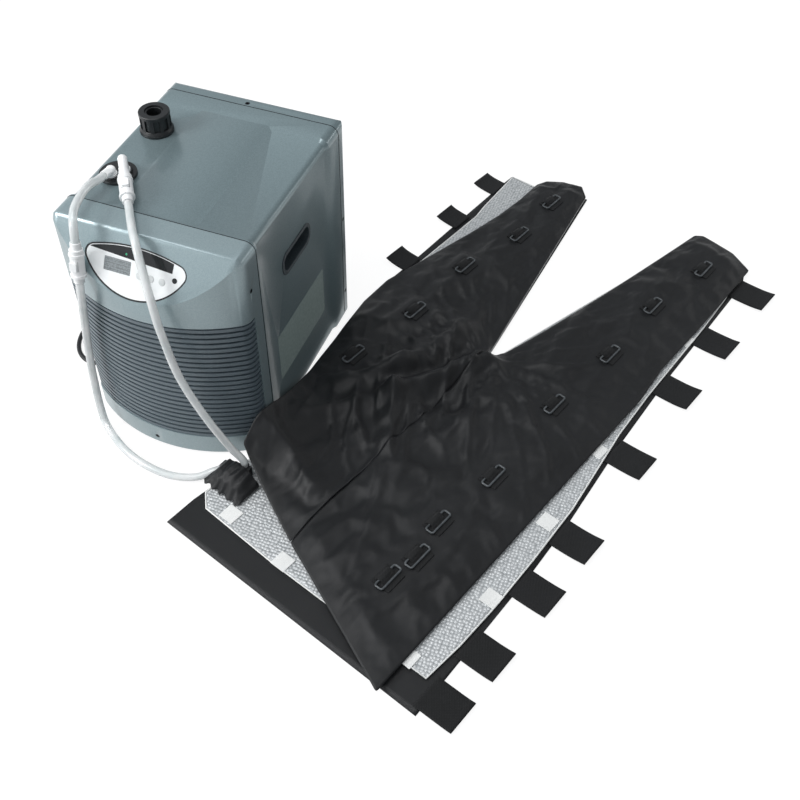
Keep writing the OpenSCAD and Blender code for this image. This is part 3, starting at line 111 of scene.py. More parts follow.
def through(points, steps=6):
    """Points of a smooth line through the given ones, in metres from points in millimetres."""
    line = []
    for i in range(len(points) - 1):
        a, b, c, d = (Vector(points[max(0, min(len(points) - 1, i + k))]) for k in (-1, 0, 1, 2))
        for k in range(steps):
            t = k / steps
            line.append(0.5 * (2 * b + (c - a) * t + (2 * a - 5 * b + 4 * c - d) * t * t
                               + (3 * b - a - 3 * c + d) * t ** 3) / 1000)
    return line + [Vector(points[-1]) / 1000]


def run_of(name, line, radius, finished, node_names=(), closed=False, fine=6):
    """A round hose, cord or rod along a line, in place of its CAD nodes."""
    curve = bpy.data.curves.new(name, "CURVE")
    curve.dimensions, curve.bevel_depth, curve.bevel_resolution, curve.use_fill_caps = "3D", radius, fine, True
    spline = curve.splines.new("POLY")
    spline.points.add(len(line) - 1)
    for point, spot in zip(spline.points, line):
        point.co = (*spot, 1)
    spline.use_smooth, spline.use_cyclic_u = True, closed
    made = bpy.data.objects.new(name, curve)
    bpy.context.collection.objects.link(made)
    curve.materials.append(finished)
    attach(made, "housing")
    if node_names:
        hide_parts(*node_names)
    return made, sum((b - a).length for a, b in zip(line, line[1:]))


supply_line = through([
    (-42, -124, 371), (-34, -135.5, 369), (-22, -153, 368), (-11, -168, 368), (0, -182, 362),
    (9, -193, 351), (18, -203, 338), (27, -213, 321), (34, -220, 301), (40, -225, 277), (47, -228, 248),
    (53, -230, 221), (60, -231, 195), (70, -232, 170), (82, -232, 143), (95, -231, 115), (107, -228, 88),
    (118, -225, 64), (126, -221, 47), (130, -218, 34), (130, -218, 25.1)])
hose_radius, cord_radius = 0.0055, 0.0035
supply_hose, supply_length = run_of("supply_tubing", supply_line, hose_radius, milky_pvc,
                                    ["supply_hose"])
link_line = through([
    (-96.5, -90, 374), (-96.1, -103.5, 376.5), (-97, -121, 381), (-96, -138, 382), (-93, -155, 382),
    (-89, -170, 381), (-85, -181, 377), (-81, -189, 371), (-79.3, -193.2, 362.5), (-79, -196, 351)])
link_hose, link_length = run_of("link_tubing", link_line, hose_radius, milky_pvc, ["link_hose"])
return_line = through([
    (-77.99, -209.1, 296.56), (-77.8, -212.3, 283), (-79, -213, 266), (-84, -210, 246), (-91, -205, 222),
    (-97, -202, 196), (-102, -200, 168), (-106, -199, 140), (-110, -198, 110), (-112, -198, 80),
    (-112, -200, 55), (-110, -203, 33), (-104, -209, 16), (-92, -218, 8), (-75, -229, 6), (-52, -242, 6),
    (-26, -252, 6), (0, -258, 6), (26, -260, 6), (50, -257, 7), (72, -249, 9), (87, -236, 12),
    (99, -229, 14), (110, -229, 14)])
return_hose, return_length = run_of("return_tubing", return_line, hose_radius, milky_pvc,
                                    ["return_hose"])

# ---------- mains cord ----------
# A 7 mm black cord in a soft PVC sheath with a moulded plug. It leaves a tapered gland low on the rear,
# makes the loop that shows at the left, and its spare length lies in a coil close behind the machine.

# PVC sheath, extruded over its wires: dull black, with a fine skin and scuffs that shine less.
cord_sheath, tree, place = finish("black_pvc_sheath", "#17181a", 0.42, IOR=1.5)
skin = add(tree, "ShaderNodeTexNoise", {"Scale": 900.0, "Detail": 2.0}, {"Vector": (place, "Object")})
add(tree, "ShaderNodeBump", {"Strength": 1.0, "Distance": 0.0002}, {"Height": (skin, "Fac")}, "Normal")
scuffs = add(tree, "ShaderNodeTexNoise", {"Scale": 60.0, "Detail": 4.0}, {"Vector": (place, "Object")})
add(tree, "ShaderNodeMapRange", {"To Min": 0.32, "To Max": 0.55}, {"Value": (scuffs, "Fac")}, "Roughness")
add(tree, "ShaderNodeValToRGB", {"stops": ((0.3, "#121315"), (0.7, "#1f2022"))}, {"Fac": (scuffs, "Fac")},
    "Base Color")

cord_line = through([
    (-88, 188, 45), (-88, 196, 45), (-90, 204, 40), (-94, 209, 30), (-101, 208, 18), (-111, 203, 8),
    (-123, 195, 3.6), (-136, 183, 3.6), (-146, 166, 3.6), (-151, 145, 3.6), (-153, 115, 3.6),
    (-154, 80, 3.6), (-155, 40, 3.6), (-155, 0, 3.6), (-156, -40, 3.6), (-159, -68, 3.6),
    (-166, -90, 3.6), (-179, -103, 3.6), (-197, -106, 3.6), (-216, -97, 3.6), (-230, -80, 3.6),
    (-238, -57, 3.6), (-240, -30, 3.6), (-236, 0, 3.6), (-226, 35, 3.6), (-211, 70, 3.6),
    (-195, 105, 3.6), (-181, 138, 3.6), (-170, 165, 3.6), (-157, 190, 3.6), (-140, 209, 3.6),
    (-119, 220, 3.6), (-97, 222, 3.6), (-78, 215, 3.6), (-64, 206, 3.6), (-50, 200, 3.6), (-38, 200, 3.6)])
coil_middle, coil_radius, coil_pitch, coil_floor = Vector((-30, 246.6)), 39, 7.6, 3.6
coil_turns, turn_steps, layer_turns = 4.5, 48, 2.5
coil = []
for i in range(int(turn_steps * coil_turns) + 1):
    turn = i / turn_steps
    layer = 0 if turn < layer_turns else 1
    part = turn - layer * layer_turns
    inward = min(part, 2) - 1
    radius = coil_radius + (-inward if layer == 0 else inward) * coil_pitch
    height = coil_floor + (layer + max(0, part - 2) * 2) * coil_pitch
    angle = math.radians(270 + 360 * turn)
    coil.append(Vector((coil_middle.x + radius * math.cos(angle), coil_middle.y + radius * math.sin(angle),
                        height)) / 1000)
coil.append(coil[-1] - Vector((0.008, 0, 0)))
mains_cord, cord_length = run_of("mains_cord", cord_line + coil, cord_radius, cord_sheath,
                                 ["power_cord", "cord_coil"])

# ---------- housing covers ----------
# The main shell, front cover and rear cover are moulded ABS, sprayed with a teal-grey metallic lacquer and a clear
# coat. Their cut edges are lightly rounded; a dark foam strip in each joint is partly a seal, partly painted shade.


def moulded(node, edge, finished, steps=2, sharp=32):
    """A CAD node's shape as one joined mesh with its edges rounded, in the node's place."""
    source = frame["nodes"][node]
    made = bpy.data.objects.new(node + "_finished", source.data.copy())
    bpy.context.collection.objects.link(made)
    shape = bmesh.new()
    shape.from_mesh(made.data)
    bmesh.ops.remove_doubles(shape, verts=shape.verts, dist=0.00002)
    bmesh.ops.dissolve_limit(shape, angle_limit=math.radians(0.15), verts=shape.verts, edges=shape.edges)
    for face in shape.faces:
        face.smooth = True
    shape.to_mesh(made.data)
    shape.free()
    made.data.set_sharp_from_angle(angle=math.radians(sharp))
    made.data.materials.clear()
    made.data.materials.append(finished)
    if edge:
        rounding = made.modifiers.new("rounded edges", "BEVEL")
        rounding.width, rounding.segments, rounding.harden_normals = edge / 1000, steps, True
        rounding.limit_method, rounding.angle_limit = "ANGLE", math.radians(sharp)
        rounding.use_clamp_overlap = True
    bodies = frame["record"]["behaviour"]["bodies"]
    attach(made, next(body for body, nodes in bodies.items() if node in nodes))
    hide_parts(node)
    return made


# Metallic lacquer, sprayed: aluminium flakes drawn 1 mm coarse so that they just show, a faint orange
# peel 3 mm across and a clear coat that gives the round edges their bright line.
lacquers = {}
# The second lacquer is the same one painted a tone lighter: a painted reflection for the front cover's sloped face.
for name, dark, light in (("teal_grey_metallic_lacquer", "#75868a", "#809195"),
                          ("painted_light_teal_metallic_lacquer", "#8a9b9f", "#94a4a8")):
    lacquers[name], tree, place = finish(name, light, 0.36, Metallic=0.4, Coat_Weight=0.45, Coat_Roughness=0.16)
    flakes = add(tree, "ShaderNodeTexVoronoi", {"Scale": 1000.0}, {"Vector": (place, "Object")})
    add(tree, "ShaderNodeValToRGB", {"stops": ((0.2, dark), (0.8, light))}, {"Fac": (flakes, "Color")}, "Base Color")
    peel = add(tree, "ShaderNodeTexNoise", {"Scale": 330.0, "Detail": 1.0}, {"Vector": (place, "Object")})
    add(tree, "ShaderNodeBump", {"Strength": 1.0, "Distance": 0.00003}, {"Height": (peel, "Fac")}, "Normal")
    haze = add(tree, "ShaderNodeTexNoise", {"Scale": 12.0, "Detail": 3.0}, {"Vector": (place, "Object")})
    add(tree, "ShaderNodeMapRange", {"To Min": 0.3, "To Max": 0.42}, {"Value": (haze, "Fac")}, "Roughness")
moulded("main_shell", 0.9, lacquers["teal_grey_metallic_lacquer"])
moulded("rear_cover", 0.9, lacquers["teal_grey_metallic_lacquer"])
# The front cover's lighter lacquer is a painted reflection of the bright room in front.
moulded("front_bezel", 0.9, lacquers["painted_light_teal_metallic_lacquer"])

# Closed-cell foam, cut in strips: matt black, with cells drawn 0.5 mm wide; partly painted shade for the joint's gap.
foam_seal_and_seam_shade, tree, place = finish("black_foam_seal_and_seam_shade", "#1c2123", 0.9, IOR=1.4)
cells = add(tree, "ShaderNodeTexVoronoi", {"Scale": 2000.0}, {"Vector": (place, "Object")})
add(tree, "ShaderNodeBump", {"Strength": 1.0, "Distance": 0.0002}, {"Height": (cells, "Distance")}, "Normal")
add(tree, "ShaderNodeValToRGB", {"stops": ((0.2, "#161a1c"), (0.8, "#242a2c"))}, {"Fac": (cells, "Distance")},
    "Base Color")
# Each strip runs round a joint as a seal and as painted shade that draws the joint's dark line.
for name, seam_y, low in (("front_seal_and_seam_shade", -127, 9), ("rear_seal_and_seam_shade", 138, 9)):
    arch = [(-134.9, seam_y, low), (-134.9, seam_y, 347)]
    arch += [(-121 - 13.9 * math.cos(a), seam_y, 347 + 13.9 * math.sin(a)) for a in (0.26, 0.52, 0.79, 1.05, 1.31)]
    arch += [(-121, seam_y, 360.9)]
    arch += [(-x, y, z) for x, y, z in reversed(arch)]
    run_of(name, [Vector(q) / 1000 for q in arch], 0.0006, foam_seal_and_seam_shade, fine=2)

# ---------- grille and filter ----------
# The grille is one moulding in satin grey ABS: 24 curved louvres on upright posts, snapped in from behind.
# A woven black filter in a plastic frame stands behind it.

# ABS, moulded in a fine-grained tool: satin, with a faint tooth 1.5 mm across.
satin_abs, tree, place = finish("satin_grey_abs", "#5d6a71", 0.4, Metallic=0.15, Coat_Weight=0.1)
grain = add(tree, "ShaderNodeTexNoise", {"Scale": 700.0, "Detail": 2.0}, {"Vector": (place, "Object")})
add(tree, "ShaderNodeBump", {"Strength": 1.0, "Distance": 0.00015}, {"Height": (grain, "Fac")}, "Normal")
add(tree, "ShaderNodeValToRGB", {"stops": ((0.3, "#57646b"), (0.7, "#636f76"))}, {"Fac": (grain, "Fac")},
    "Base Color")
moulded("front_grille", 0.35, satin_abs)

# Nylon gauze, woven: threads 1.7 mm apart, dark holes between them.
filter_gauze, tree, place = finish("woven_filter_gauze", "#202426", 0.7)
threads = add(tree, "ShaderNodeTexVoronoi", {"Scale": 600.0}, {"Vector": (place, "Object")})
add(tree, "ShaderNodeValToRGB", {"stops": ((0.3, "#34393c"), (0.7, "#121415"))}, {"Fac": (threads, "Distance")},
    "Base Color")
add(tree, "ShaderNodeBump", {"Strength": 1.0, "Distance": 0.0005}, {"Height": (threads, "Distance")}, "Normal")


def wears(finished, *nodes):
    """Gives CAD nodes, whose own shape stays, a finished material."""
    for node in nodes:
        frame["nodes"][node].data.materials.clear()
        frame["nodes"][node].data.materials.append(finished)


wears(filter_gauze, "air_filter")

# ---------- base pan, feet and screws ----------
# The pan is folded steel with a grey powder coat, and stands on moulded rubber feet. Ten black oxide
# screws with hexagon sockets hold the covers and the pan together.

# Powder coat, baked: even grey with a shallow texture 2 mm across.
powder_coat, tree, place = finish("grey_powder_coat", "#70797c", 0.55)
powder = add(tree, "ShaderNodeTexNoise", {"Scale": 500.0, "Detail": 2.0}, {"Vector": (place, "Object")})
add(tree, "ShaderNodeBump", {"Strength": 1.0, "Distance": 0.0003}, {"Height": (powder, "Fac")}, "Normal")
add(tree, "ShaderNodeValToRGB", {"stops": ((0.3, "#697275"), (0.7, "#788184"))}, {"Fac": (powder, "Fac")},
    "Base Color")
wears(powder_coat, "base_pan")

# Rubber, compression moulded: dull, with a paler bloom in slow patches.
moulded_rubber, tree, place = finish("moulded_black_rubber", "#1b1c1e", 0.68, IOR=1.52)
bloom = add(tree, "ShaderNodeTexNoise", {"Scale": 90.0, "Detail": 5.0}, {"Vector": (place, "Object")})
add(tree, "ShaderNodeValToRGB", {"stops": ((0.3, "#161719"), (0.7, "#242628"))}, {"Fac": (bloom, "Fac")},
    "Base Color")
add(tree, "ShaderNodeBump", {"Strength": 1.0, "Distance": 0.0003}, {"Height": (bloom, "Fac")}, "Normal")
for node in ("rubber_feet", "cord_gland", "cord_plug", "garment_port"):
    moulded(node, 0.6, moulded_rubber)

# Black oxide on steel: a thin dark layer that still shines like metal, with turning marks.
black_oxide, tree, place = finish("black_oxide_steel", "#26282b", 0.38, Metallic=0.9)
turning = add(tree, "ShaderNodeTexNoise", {"Scale": 1200.0, "Detail": 2.0}, {"Vector": (place, "Object")})
add(tree, "ShaderNodeMapRange", {"To Min": 0.28, "To Max": 0.5}, {"Value": (turning, "Fac")}, "Roughness")
moulded("housing_screws", 0.2, black_oxide)

# ---------- grips and side plate ----------
# A grip cup in fine-grained dark ABS is clipped into each side, and a thin plate lies in a shallow seat
# in the right side. The plate has a fine satin grain.

# ABS, moulded in a spark-eroded tool: dark and matt, with a grain 1.2 mm across.
grained_abs, tree, place = finish("fine_grained_dark_abs", "#333c41", 0.5)
spark = add(tree, "ShaderNodeTexVoronoi", {"Scale": 800.0}, {"Vector": (place, "Object")})
add(tree, "ShaderNodeBump", {"Strength": 1.0, "Distance": 0.00025}, {"Height": (spark, "Distance")}, "Normal")
add(tree, "ShaderNodeValToRGB", {"stops": ((0.3, "#2d363b"), (0.7, "#3c464b"))}, {"Fac": (spark, "Distance")},
    "Base Color")
for node in ("grip_cup_right", "grip_cup_left"):
    moulded(node, 0.8, grained_abs)

# Polycarbonate film on a plate, velvet side out: grey-green and even, a little lighter than the lacquer
# round it in the side's shade.
plate_film, tree, place = finish("velvet_polycarbonate_film", "#8a9a96", 0.5, IOR=1.58)
satin = add(tree, "ShaderNodeTexNoise", {"Scale": 220.0, "Detail": 3.0}, {"Vector": (place, "Object")})
add(tree, "ShaderNodeValToRGB", {"stops": ((0.3, "#82928f"), (0.7, "#94a39f"))}, {"Fac": (satin, "Fac")},
    "Base Color")
add(tree, "ShaderNodeBump", {"Strength": 1.0, "Distance": 0.0001}, {"Height": (satin, "Fac")}, "Normal")
moulded("side_plate", 0.25, plate_film)

# ---------- control panel ----------
# A white gloss panel lies in the sloped face inside a black gasket. It carries a black strip with a green
# lamp, a grey display window, three pale round buttons and a dark power button; the board hides behind.

# ABS, moulded in a polished tool: white gloss, with slow changes of shine.
white_abs, tree, place = finish("white_gloss_abs", "#f3f5f5", 0.22, Coat_Weight=0.3)
gloss = add(tree, "ShaderNodeTexNoise", {"Scale": 40.0, "Detail": 3.0}, {"Vector": (place, "Object")})
add(tree, "ShaderNodeValToRGB", {"stops": ((0.3, "#eef1f1"), (0.7, "#f8f9f9"))}, {"Fac": (gloss, "Fac")},
    "Base Color")
add(tree, "ShaderNodeMapRange", {"To Min": 0.18, "To Max": 0.28}, {"Value": (gloss, "Fac")}, "Roughness")
moulded("control_fascia", 0.3, white_abs)
moulded("fascia_gasket", 0.3, moulded_rubber)

# Acrylic, cast and polished: deep black under a hard gloss.
black_acrylic, tree, place = finish("black_polished_acrylic", "#141618", 0.16, IOR=1.49, Coat_Weight=0.4)
polish = add(tree, "ShaderNodeTexNoise", {"Scale": 50.0, "Detail": 3.0}, {"Vector": (place, "Object")})
add(tree, "ShaderNodeMapRange", {"To Min": 0.12, "To Max": 0.24}, {"Value": (polish, "Fac")}, "Roughness")
add(tree, "ShaderNodeValToRGB", {"stops": ((0.3, "#111315"), (0.7, "#1b1d1f"))}, {"Fac": (polish, "Fac")},
    "Base Color")
for node in ("indicator_strip", "power_button"):
    moulded(node, 0.3, black_acrylic)

# Liquid crystal display behind acrylic: grey, with the faint unlit segments 2 mm apart and a gloss window.
display_window, tree, place = finish("grey_display_window", "#83898b", 0.12, IOR=1.49, Coat_Weight=0.5)
segments = add(tree, "ShaderNodeTexVoronoi", {"Scale": 480.0, "Randomness": 0.4}, {"Vector": (place, "Object")})
add(tree, "ShaderNodeValToRGB", {"stops": ((0.3, "#8f9597"), (0.7, "#6c7274"))}, {"Fac": (segments, "Distance")},
    "Base Color")
moulded("display_lens", 0.3, display_window)

# Polycarbonate lamp lens, moulded with fine facets that scatter its light.
lamp_lens, tree, place = finish("green_lamp_lens", "#2fa374", 0.15, IOR=1.58, Coat_Weight=0.5)
facets = add(tree, "ShaderNodeTexVoronoi", {"Scale": 2500.0}, {"Vector": (place, "Object")})
add(tree, "ShaderNodeValToRGB", {"stops": ((0.3, "#3fbf8a"), (0.7, "#23835c"))}, {"Fac": (facets, "Distance")},
    "Base Color")
moulded("status_led", 0.2, lamp_lens)

# ABS, moulded and lightly grained: pale grey, smoothed where a finger presses.
pale_abs, tree, place = finish("pale_grey_abs", "#cfd3d3", 0.35, Coat_Weight=0.1)
touch = add(tree, "ShaderNodeTexNoise", {"Scale": 150.0, "Detail": 3.0}, {"Vector": (place, "Object")})
add(tree, "ShaderNodeValToRGB", {"stops": ((0.3, "#c4c8c8"), (0.7, "#d7dada"))}, {"Fac": (touch, "Fac")},
    "Base Color")
for node in ("set_button", "down_button", "up_button"):
    moulded(node, 0.5, pale_abs, steps=3)

# Solder mask on glass fibre board: green, with the tracks under it as soft lighter bands.
solder_mask, tree, place = finish("green_solder_mask", "#1f5a3a", 0.3, Coat_Weight=0.3)
tracks = add(tree, "ShaderNodeTexNoise", {"Scale": 300.0, "Detail": 2.0}, {"Vector": (place, "Object")})
add(tree, "ShaderNodeValToRGB", {"stops": ((0.3, "#1a4f33"), (0.7, "#256b45"))}, {"Fac": (tracks, "Fac")},
    "Base Color")
wears(solder_mask, "control_board")

# ---------- water fittings ----------
# The union, its port and the hose socket are turned and moulded in black glass-filled nylon, with a dull
# skin. The elbows, quick couplings and latches are white acetal.

# Glass-filled nylon, injection moulded: black, with short fibres that show as a faint uneven shine.
black_nylon, tree, place = finish("black_glass_filled_nylon", "#17191b", 0.4, IOR=1.53)
fibres = add(tree, "ShaderNodeTexNoise", {"Scale": 450.0, "Detail": 4.0}, {"Vector": (place, "Object")})
add(tree, "ShaderNodeBump", {"Strength": 1.0, "Distance": 0.0002}, {"Height": (fibres, "Fac")}, "Normal")
add(tree, "ShaderNodeMapRange", {"To Min": 0.3, "To Max": 0.5}, {"Value": (fibres, "Fac")}, "Roughness")
add(tree, "ShaderNodeValToRGB", {"stops": ((0.3, "#131517"), (0.7, "#1e2022"))}, {"Fac": (fibres, "Fac")},
    "Base Color")
for node in ("port_stub", "union_tail", "hose_socket"):
    moulded(node, 0.5, black_nylon)
moulded("union_nut", 0.9, black_nylon, steps=3)

# Acetal, moulded: white with a waxy shine and slow flow marks.
white_acetal, tree, place = finish("white_acetal", "#f4f5f5", 0.32, IOR=1.48)
flow = add(tree, "ShaderNodeTexNoise", {"Scale": 70.0, "Detail": 3.0}, {"Vector": (place, "Object")})
add(tree, "ShaderNodeValToRGB", {"stops": ((0.3, "#eceeee"), (0.7, "#fafafa"))}, {"Fac": (flow, "Fac")},
    "Base Color")
add(tree, "ShaderNodeMapRange", {"To Min": 0.26, "To Max": 0.4}, {"Value": (flow, "Fac")}, "Roughness")
for node in ("supply_elbow", "return_elbow"):
    moulded(node, 0.3, white_acetal)
for node in ("supply_coupling", "supply_latch", "return_coupling", "return_latch"):
    moulded(node, 0.7, white_acetal, steps=3)

# ---------- inside ----------
# A finned condenser and its fan stand behind the filter. The compressor stands on rubber mounts at the
# rear, beside the stainless tank and its pump; copper pipes and hoses join them.

# Aluminium fins, rolled: bright metal with uneven rolling marks.
bare_aluminium, tree, place = finish("rolled_aluminium_fin", "#a9b0b3", 0.32, Metallic=1.0)
rolling = add(tree, "ShaderNodeTexNoise", {"Scale": 250.0, "Detail": 3.0}, {"Vector": (place, "Object")})
add(tree, "ShaderNodeMapRange", {"To Min": 0.22, "To Max": 0.45}, {"Value": (rolling, "Fac")}, "Roughness")
wears(bare_aluminium, "condenser_coil")
# Stainless steel, brushed along its height: fine lines 1 mm apart.
stainless, tree, place = finish("brushed_stainless_steel", "#c4c8ca", 0.3, Metallic=1.0)
long_way = add(tree, "ShaderNodeMapping", {"Scale": (900.0, 900.0, 30.0)}, {"Vector": (place, "Object")})
brushing = add(tree, "ShaderNodeTexNoise", {"Scale": 1.0, "Detail": 2.0}, {"Vector": (long_way, "Vector")})
add(tree, "ShaderNodeMapRange", {"To Min": 0.2, "To Max": 0.42}, {"Value": (brushing, "Fac")}, "Roughness")
wears(stainless, "chilled_tank")
# Copper, drawn: warm metal, darker where it has tarnished.
copper_pipe, tree, place = finish("drawn_copper_pipe", "#b8744a", 0.3, Metallic=1.0)
tarnish = add(tree, "ShaderNodeTexNoise", {"Scale": 60.0, "Detail": 4.0}, {"Vector": (place, "Object")})
add(tree, "ShaderNodeValToRGB", {"stops": ((0.3, "#8f5636"), (0.7, "#c98259"))}, {"Fac": (tarnish, "Fac")},
    "Base Color")
wears(copper_pipe, "internal_pipes")
# Stoved enamel on steel cans: black, with a soft shine and shallow waves.
can_enamel, tree, place = finish("black_stoved_enamel", "#1c1e20", 0.35, Coat_Weight=0.3)
stoving = add(tree, "ShaderNodeTexNoise", {"Scale": 120.0, "Detail": 3.0}, {"Vector": (place, "Object")})
add(tree, "ShaderNodeBump", {"Strength": 1.0, "Distance": 0.0002}, {"Height": (stoving, "Fac")}, "Normal")
wears(can_enamel, "compressor", "fan_motor")
wears(grained_abs, "fan_shroud", "fan_blade", "water_pump")
wears(moulded_rubber, "compressor_mounts")
wears(white_acetal, "pump_impeller")

# ---------- rocker switch ----------
# A rocker in black gloss plastic turns in a snap-in frame beside the cord's gland, and its two ends stand
# a little proud in turn.
for node in ("rocker_frame", "rocker_switch"):
    moulded(node, 0.4, black_acrylic)

# ---------- trousers: back, lining and tabs ----------
# The back of the trousers is one flat sheet of black coated nylon. A quilted silver lining lies on it,
# bound with white piping, and short folded tabs stand out along both sides for the straps.
garment_turn = math.radians(-19)


def on_floor(p, v, z):
    """A point of the trousers, p across and v down from the waist, as it lies on the floor."""
    return Vector((0.216 + (p * math.cos(garment_turn) - v * math.sin(garment_turn)) / 1000,
                   -0.374 + (p * math.sin(garment_turn) + v * math.cos(garment_turn)) / 1000, z / 1000))


# Woven goods. Polyurethane-coated nylon has 0.4 mm threads, drawn 1.2 mm wide so that they show, and takes
# a dull sheen on its folds. Polyester webbing is coarser and matt. Cotton tape is white and soft.
cloths = {}
for name, dark, light, rough, thread, depth in (
        ("coated_black_nylon", "#0e0f11", "#161719", 0.46, 0.0012, 0.0001),
        ("black_polyester_webbing", "#0e0f10", "#17181a", 0.75, 0.002, 0.0005),
        ("white_cotton_tape", "#e4e5e3", "#f3f3f1", 0.75, 0.0012, 0.0002)):
    cloths[name], tree, place = finish(name, light, rough, IOR=1.42, Sheen_Weight=0.04)
    laid = add(tree, "ShaderNodeMapping", {"Rotation": (0, 0, garment_turn)}, {"Vector": (place, "Object")})
    warp, weft = (add(tree, "ShaderNodeTexWave", {"bands_direction": way, "Scale": 0.314 / thread, "Distortion": 0.6},
                      {"Vector": (laid, "Vector")}) for way in "XY")
    crossed = add(tree, "ShaderNodeMath", {"operation": "MAXIMUM"}, {0: (warp, "Fac"), 1: (weft, "Fac")})
    add(tree, "ShaderNodeBump", {"Strength": 1.0, "Distance": depth}, {"Height": (crossed, "Value")}, "Normal")
    tone = add(tree, "ShaderNodeTexNoise", {"Scale": 9.0, "Detail": 4.0}, {"Vector": (place, "Object")})
    add(tree, "ShaderNodeValToRGB", {"stops": ((0.3, dark), (0.7, light))}, {"Fac": (tone, "Fac")}, "Base Color")
    add(tree, "ShaderNodeMapRange", {"To Min": rough - 0.06, "To Max": rough + 0.08}, {"Value": (tone, "Fac")},
        "Roughness")

# Aluminised taffeta over wadding, spot-welded every 5 mm: silver and puckered between its dots.
quilt, tree, place = finish("silver_quilted_taffeta", "#b4b8ba", 0.42, Metallic=0.25)
dots = add(tree, "ShaderNodeTexVoronoi", {"Scale": 210.0, "Randomness": 0.45}, {"Vector": (place, "Object")})
# The colour is darker towards each cell's edge, where the bump presses the cloth in: painted shade in the quilting's
# hollows.
add(tree, "ShaderNodeValToRGB", {"stops": ((0.2, "#d3d5d6"), (0.8, "#9b9fa1"))}, {"Fac": (dots, "Distance")},
    "Base Color")
pressed = add(tree, "ShaderNodeBump", {"Strength": 1.0, "Distance": -0.0016}, {"Height": (dots, "Distance")})
pucker = add(tree, "ShaderNodeTexNoise", {"Scale": 75.0, "Detail": 4.0}, {"Vector": (place, "Object")})
add(tree, "ShaderNodeBump", {"Strength": 1.0, "Distance": 0.0022},
    {"Height": (pucker, "Fac"), "Normal": (pressed, "Normal")}, "Normal")


def shown(name, shape, finished, node_names=(), thick=0.0, edge=0.0, rounds=0):
    """Makes a piece of a bmesh that is already in place; thick doubles a sheet downwards."""
    if sum(f.normal.z * f.calc_area() for f in shape.faces) < 0 and thick:
        bmesh.ops.reverse_faces(shape, faces=shape.faces)
    for face in shape.faces:
        face.smooth = bool(thick)
    mesh = bpy.data.meshes.new(name)
    shape.to_mesh(mesh)
    area = sum(f.calc_area() for f in shape.faces)
    shape.free()
    made = bpy.data.objects.new(name, mesh)
    bpy.context.collection.objects.link(made)
    mesh.materials.append(finished)
    if rounds:
        finer = made.modifiers.new("finer", "SUBSURF")
        finer.levels = finer.render_levels = rounds
    if thick:
        doubled = made.modifiers.new("thickness", "SOLIDIFY")
        doubled.thickness, doubled.offset = thick, -1
    if edge:
        rounding = made.modifiers.new("rounded edges", "BEVEL")
        rounding.width, rounding.segments = edge, 2
    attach(made, "housing")
    if node_names:
        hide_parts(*node_names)
    return made, area


def cut_cloth(outline, z, step, height=lambda p, v: 0):
    """A flat cut of cloth inside an outline, in square cells of one size, lying at a height."""
    shape = bmesh.new()
    shape.faces.new([shape.verts.new((p, v, 0)) for p, v in outline])
    for axis, way in ((0, (1, 0, 0)), (1, (0, 1, 0))):
        start, end = min(q[axis] for q in outline), max(q[axis] for q in outline)
        for k in range(1, int((end - start) / step) + 1):
            bmesh.ops.bisect_plane(shape, geom=shape.verts[:] + shape.edges[:] + shape.faces[:], dist=0.001,
                                   plane_co=[(start + (k - 0.37) * step) * w for w in way], plane_no=way)
    bmesh.ops.remove_doubles(shape, verts=shape.verts, dist=0.2)
    for vert in shape.verts:
        vert.co = on_floor(vert.co.x, vert.co.y, z + height(vert.co.x, vert.co.y))
    shape.normal_update()
    return shape


back_outline = [(283, -8), (275, 250), (268, 350), (248, 520), (235, 680), (229, 810), (222, 950), (208, 985),
                (100, 990), (2.2, 514), (-2.2, 514), (-105, 972), (-205, 940), (-250, 938), (-250, 900),
                (-245, 750), (-241, 640), (-241, 560), (-237, 495), (-224, 434), (-204, 354), (-184, 286),
                (-162, 224), (-145, 172), (-150, 122), (-158, 42), (-158, -8)]
back_sheet, back_area = shown("trousers_back", cut_cloth(back_outline, 1.8, 14), cloths["coated_black_nylon"],
                              ["back_panel_right", "back_panel_left"], thick=0.0015)

lining_outline = [(263, 37), (268, 100), (269, 173), (266, 265), (260, 369), (238, 529), (231, 624),
                  (224, 805), (218, 891), (206, 975), (102, 982), (2.2, 514), (-2.2, 514), (-107, 966),
                  (-200, 936), (-246, 934), (-240, 884), (-234, 830), (-228, 796), (-227, 640), (-236, 560),
                  (-232, 495), (-219, 434), (-199, 354), (-179, 286), (-157, 224), (-141, 172), (-148, 130),
                  (-152, 60), (-131, 41), (0, 36)]
lining, lining_area = shown(
    "trousers_lining",
    cut_cloth(lining_outline, 5.5, 8, lambda p, v: 0.45 * noise.noise(Vector((p / 16, v / 16, 0.0))) - 0.2),
    quilt, ["liner_right", "liner_left"], thick=0.003)

# The lining is bound with piping, a 2.4 mm cord in white tape, and has squares of white fastening tape
# on its edge.
run_of("white_piping", [on_floor(p, v, 5.2) for p, v in lining_outline], 0.0012, cloths["white_cotton_tape"],
       closed=True, fine=3)
squares = bmesh.new()
for p, v in ((236, 41), (266, 176), (254, 324), (238, 476), (225, 605), (223, 759), (-89, 52), (19, 42)):
    for vert in bmesh.ops.create_cube(squares, size=1)["verts"]:
        vert.co = on_floor(p - 8 + vert.co.x * 24, v + 4 + vert.co.y * 24, 6.2 + vert.co.z * 1.2)
shown("white_squares", squares, cloths["white_cotton_tape"], edge=0.0004)

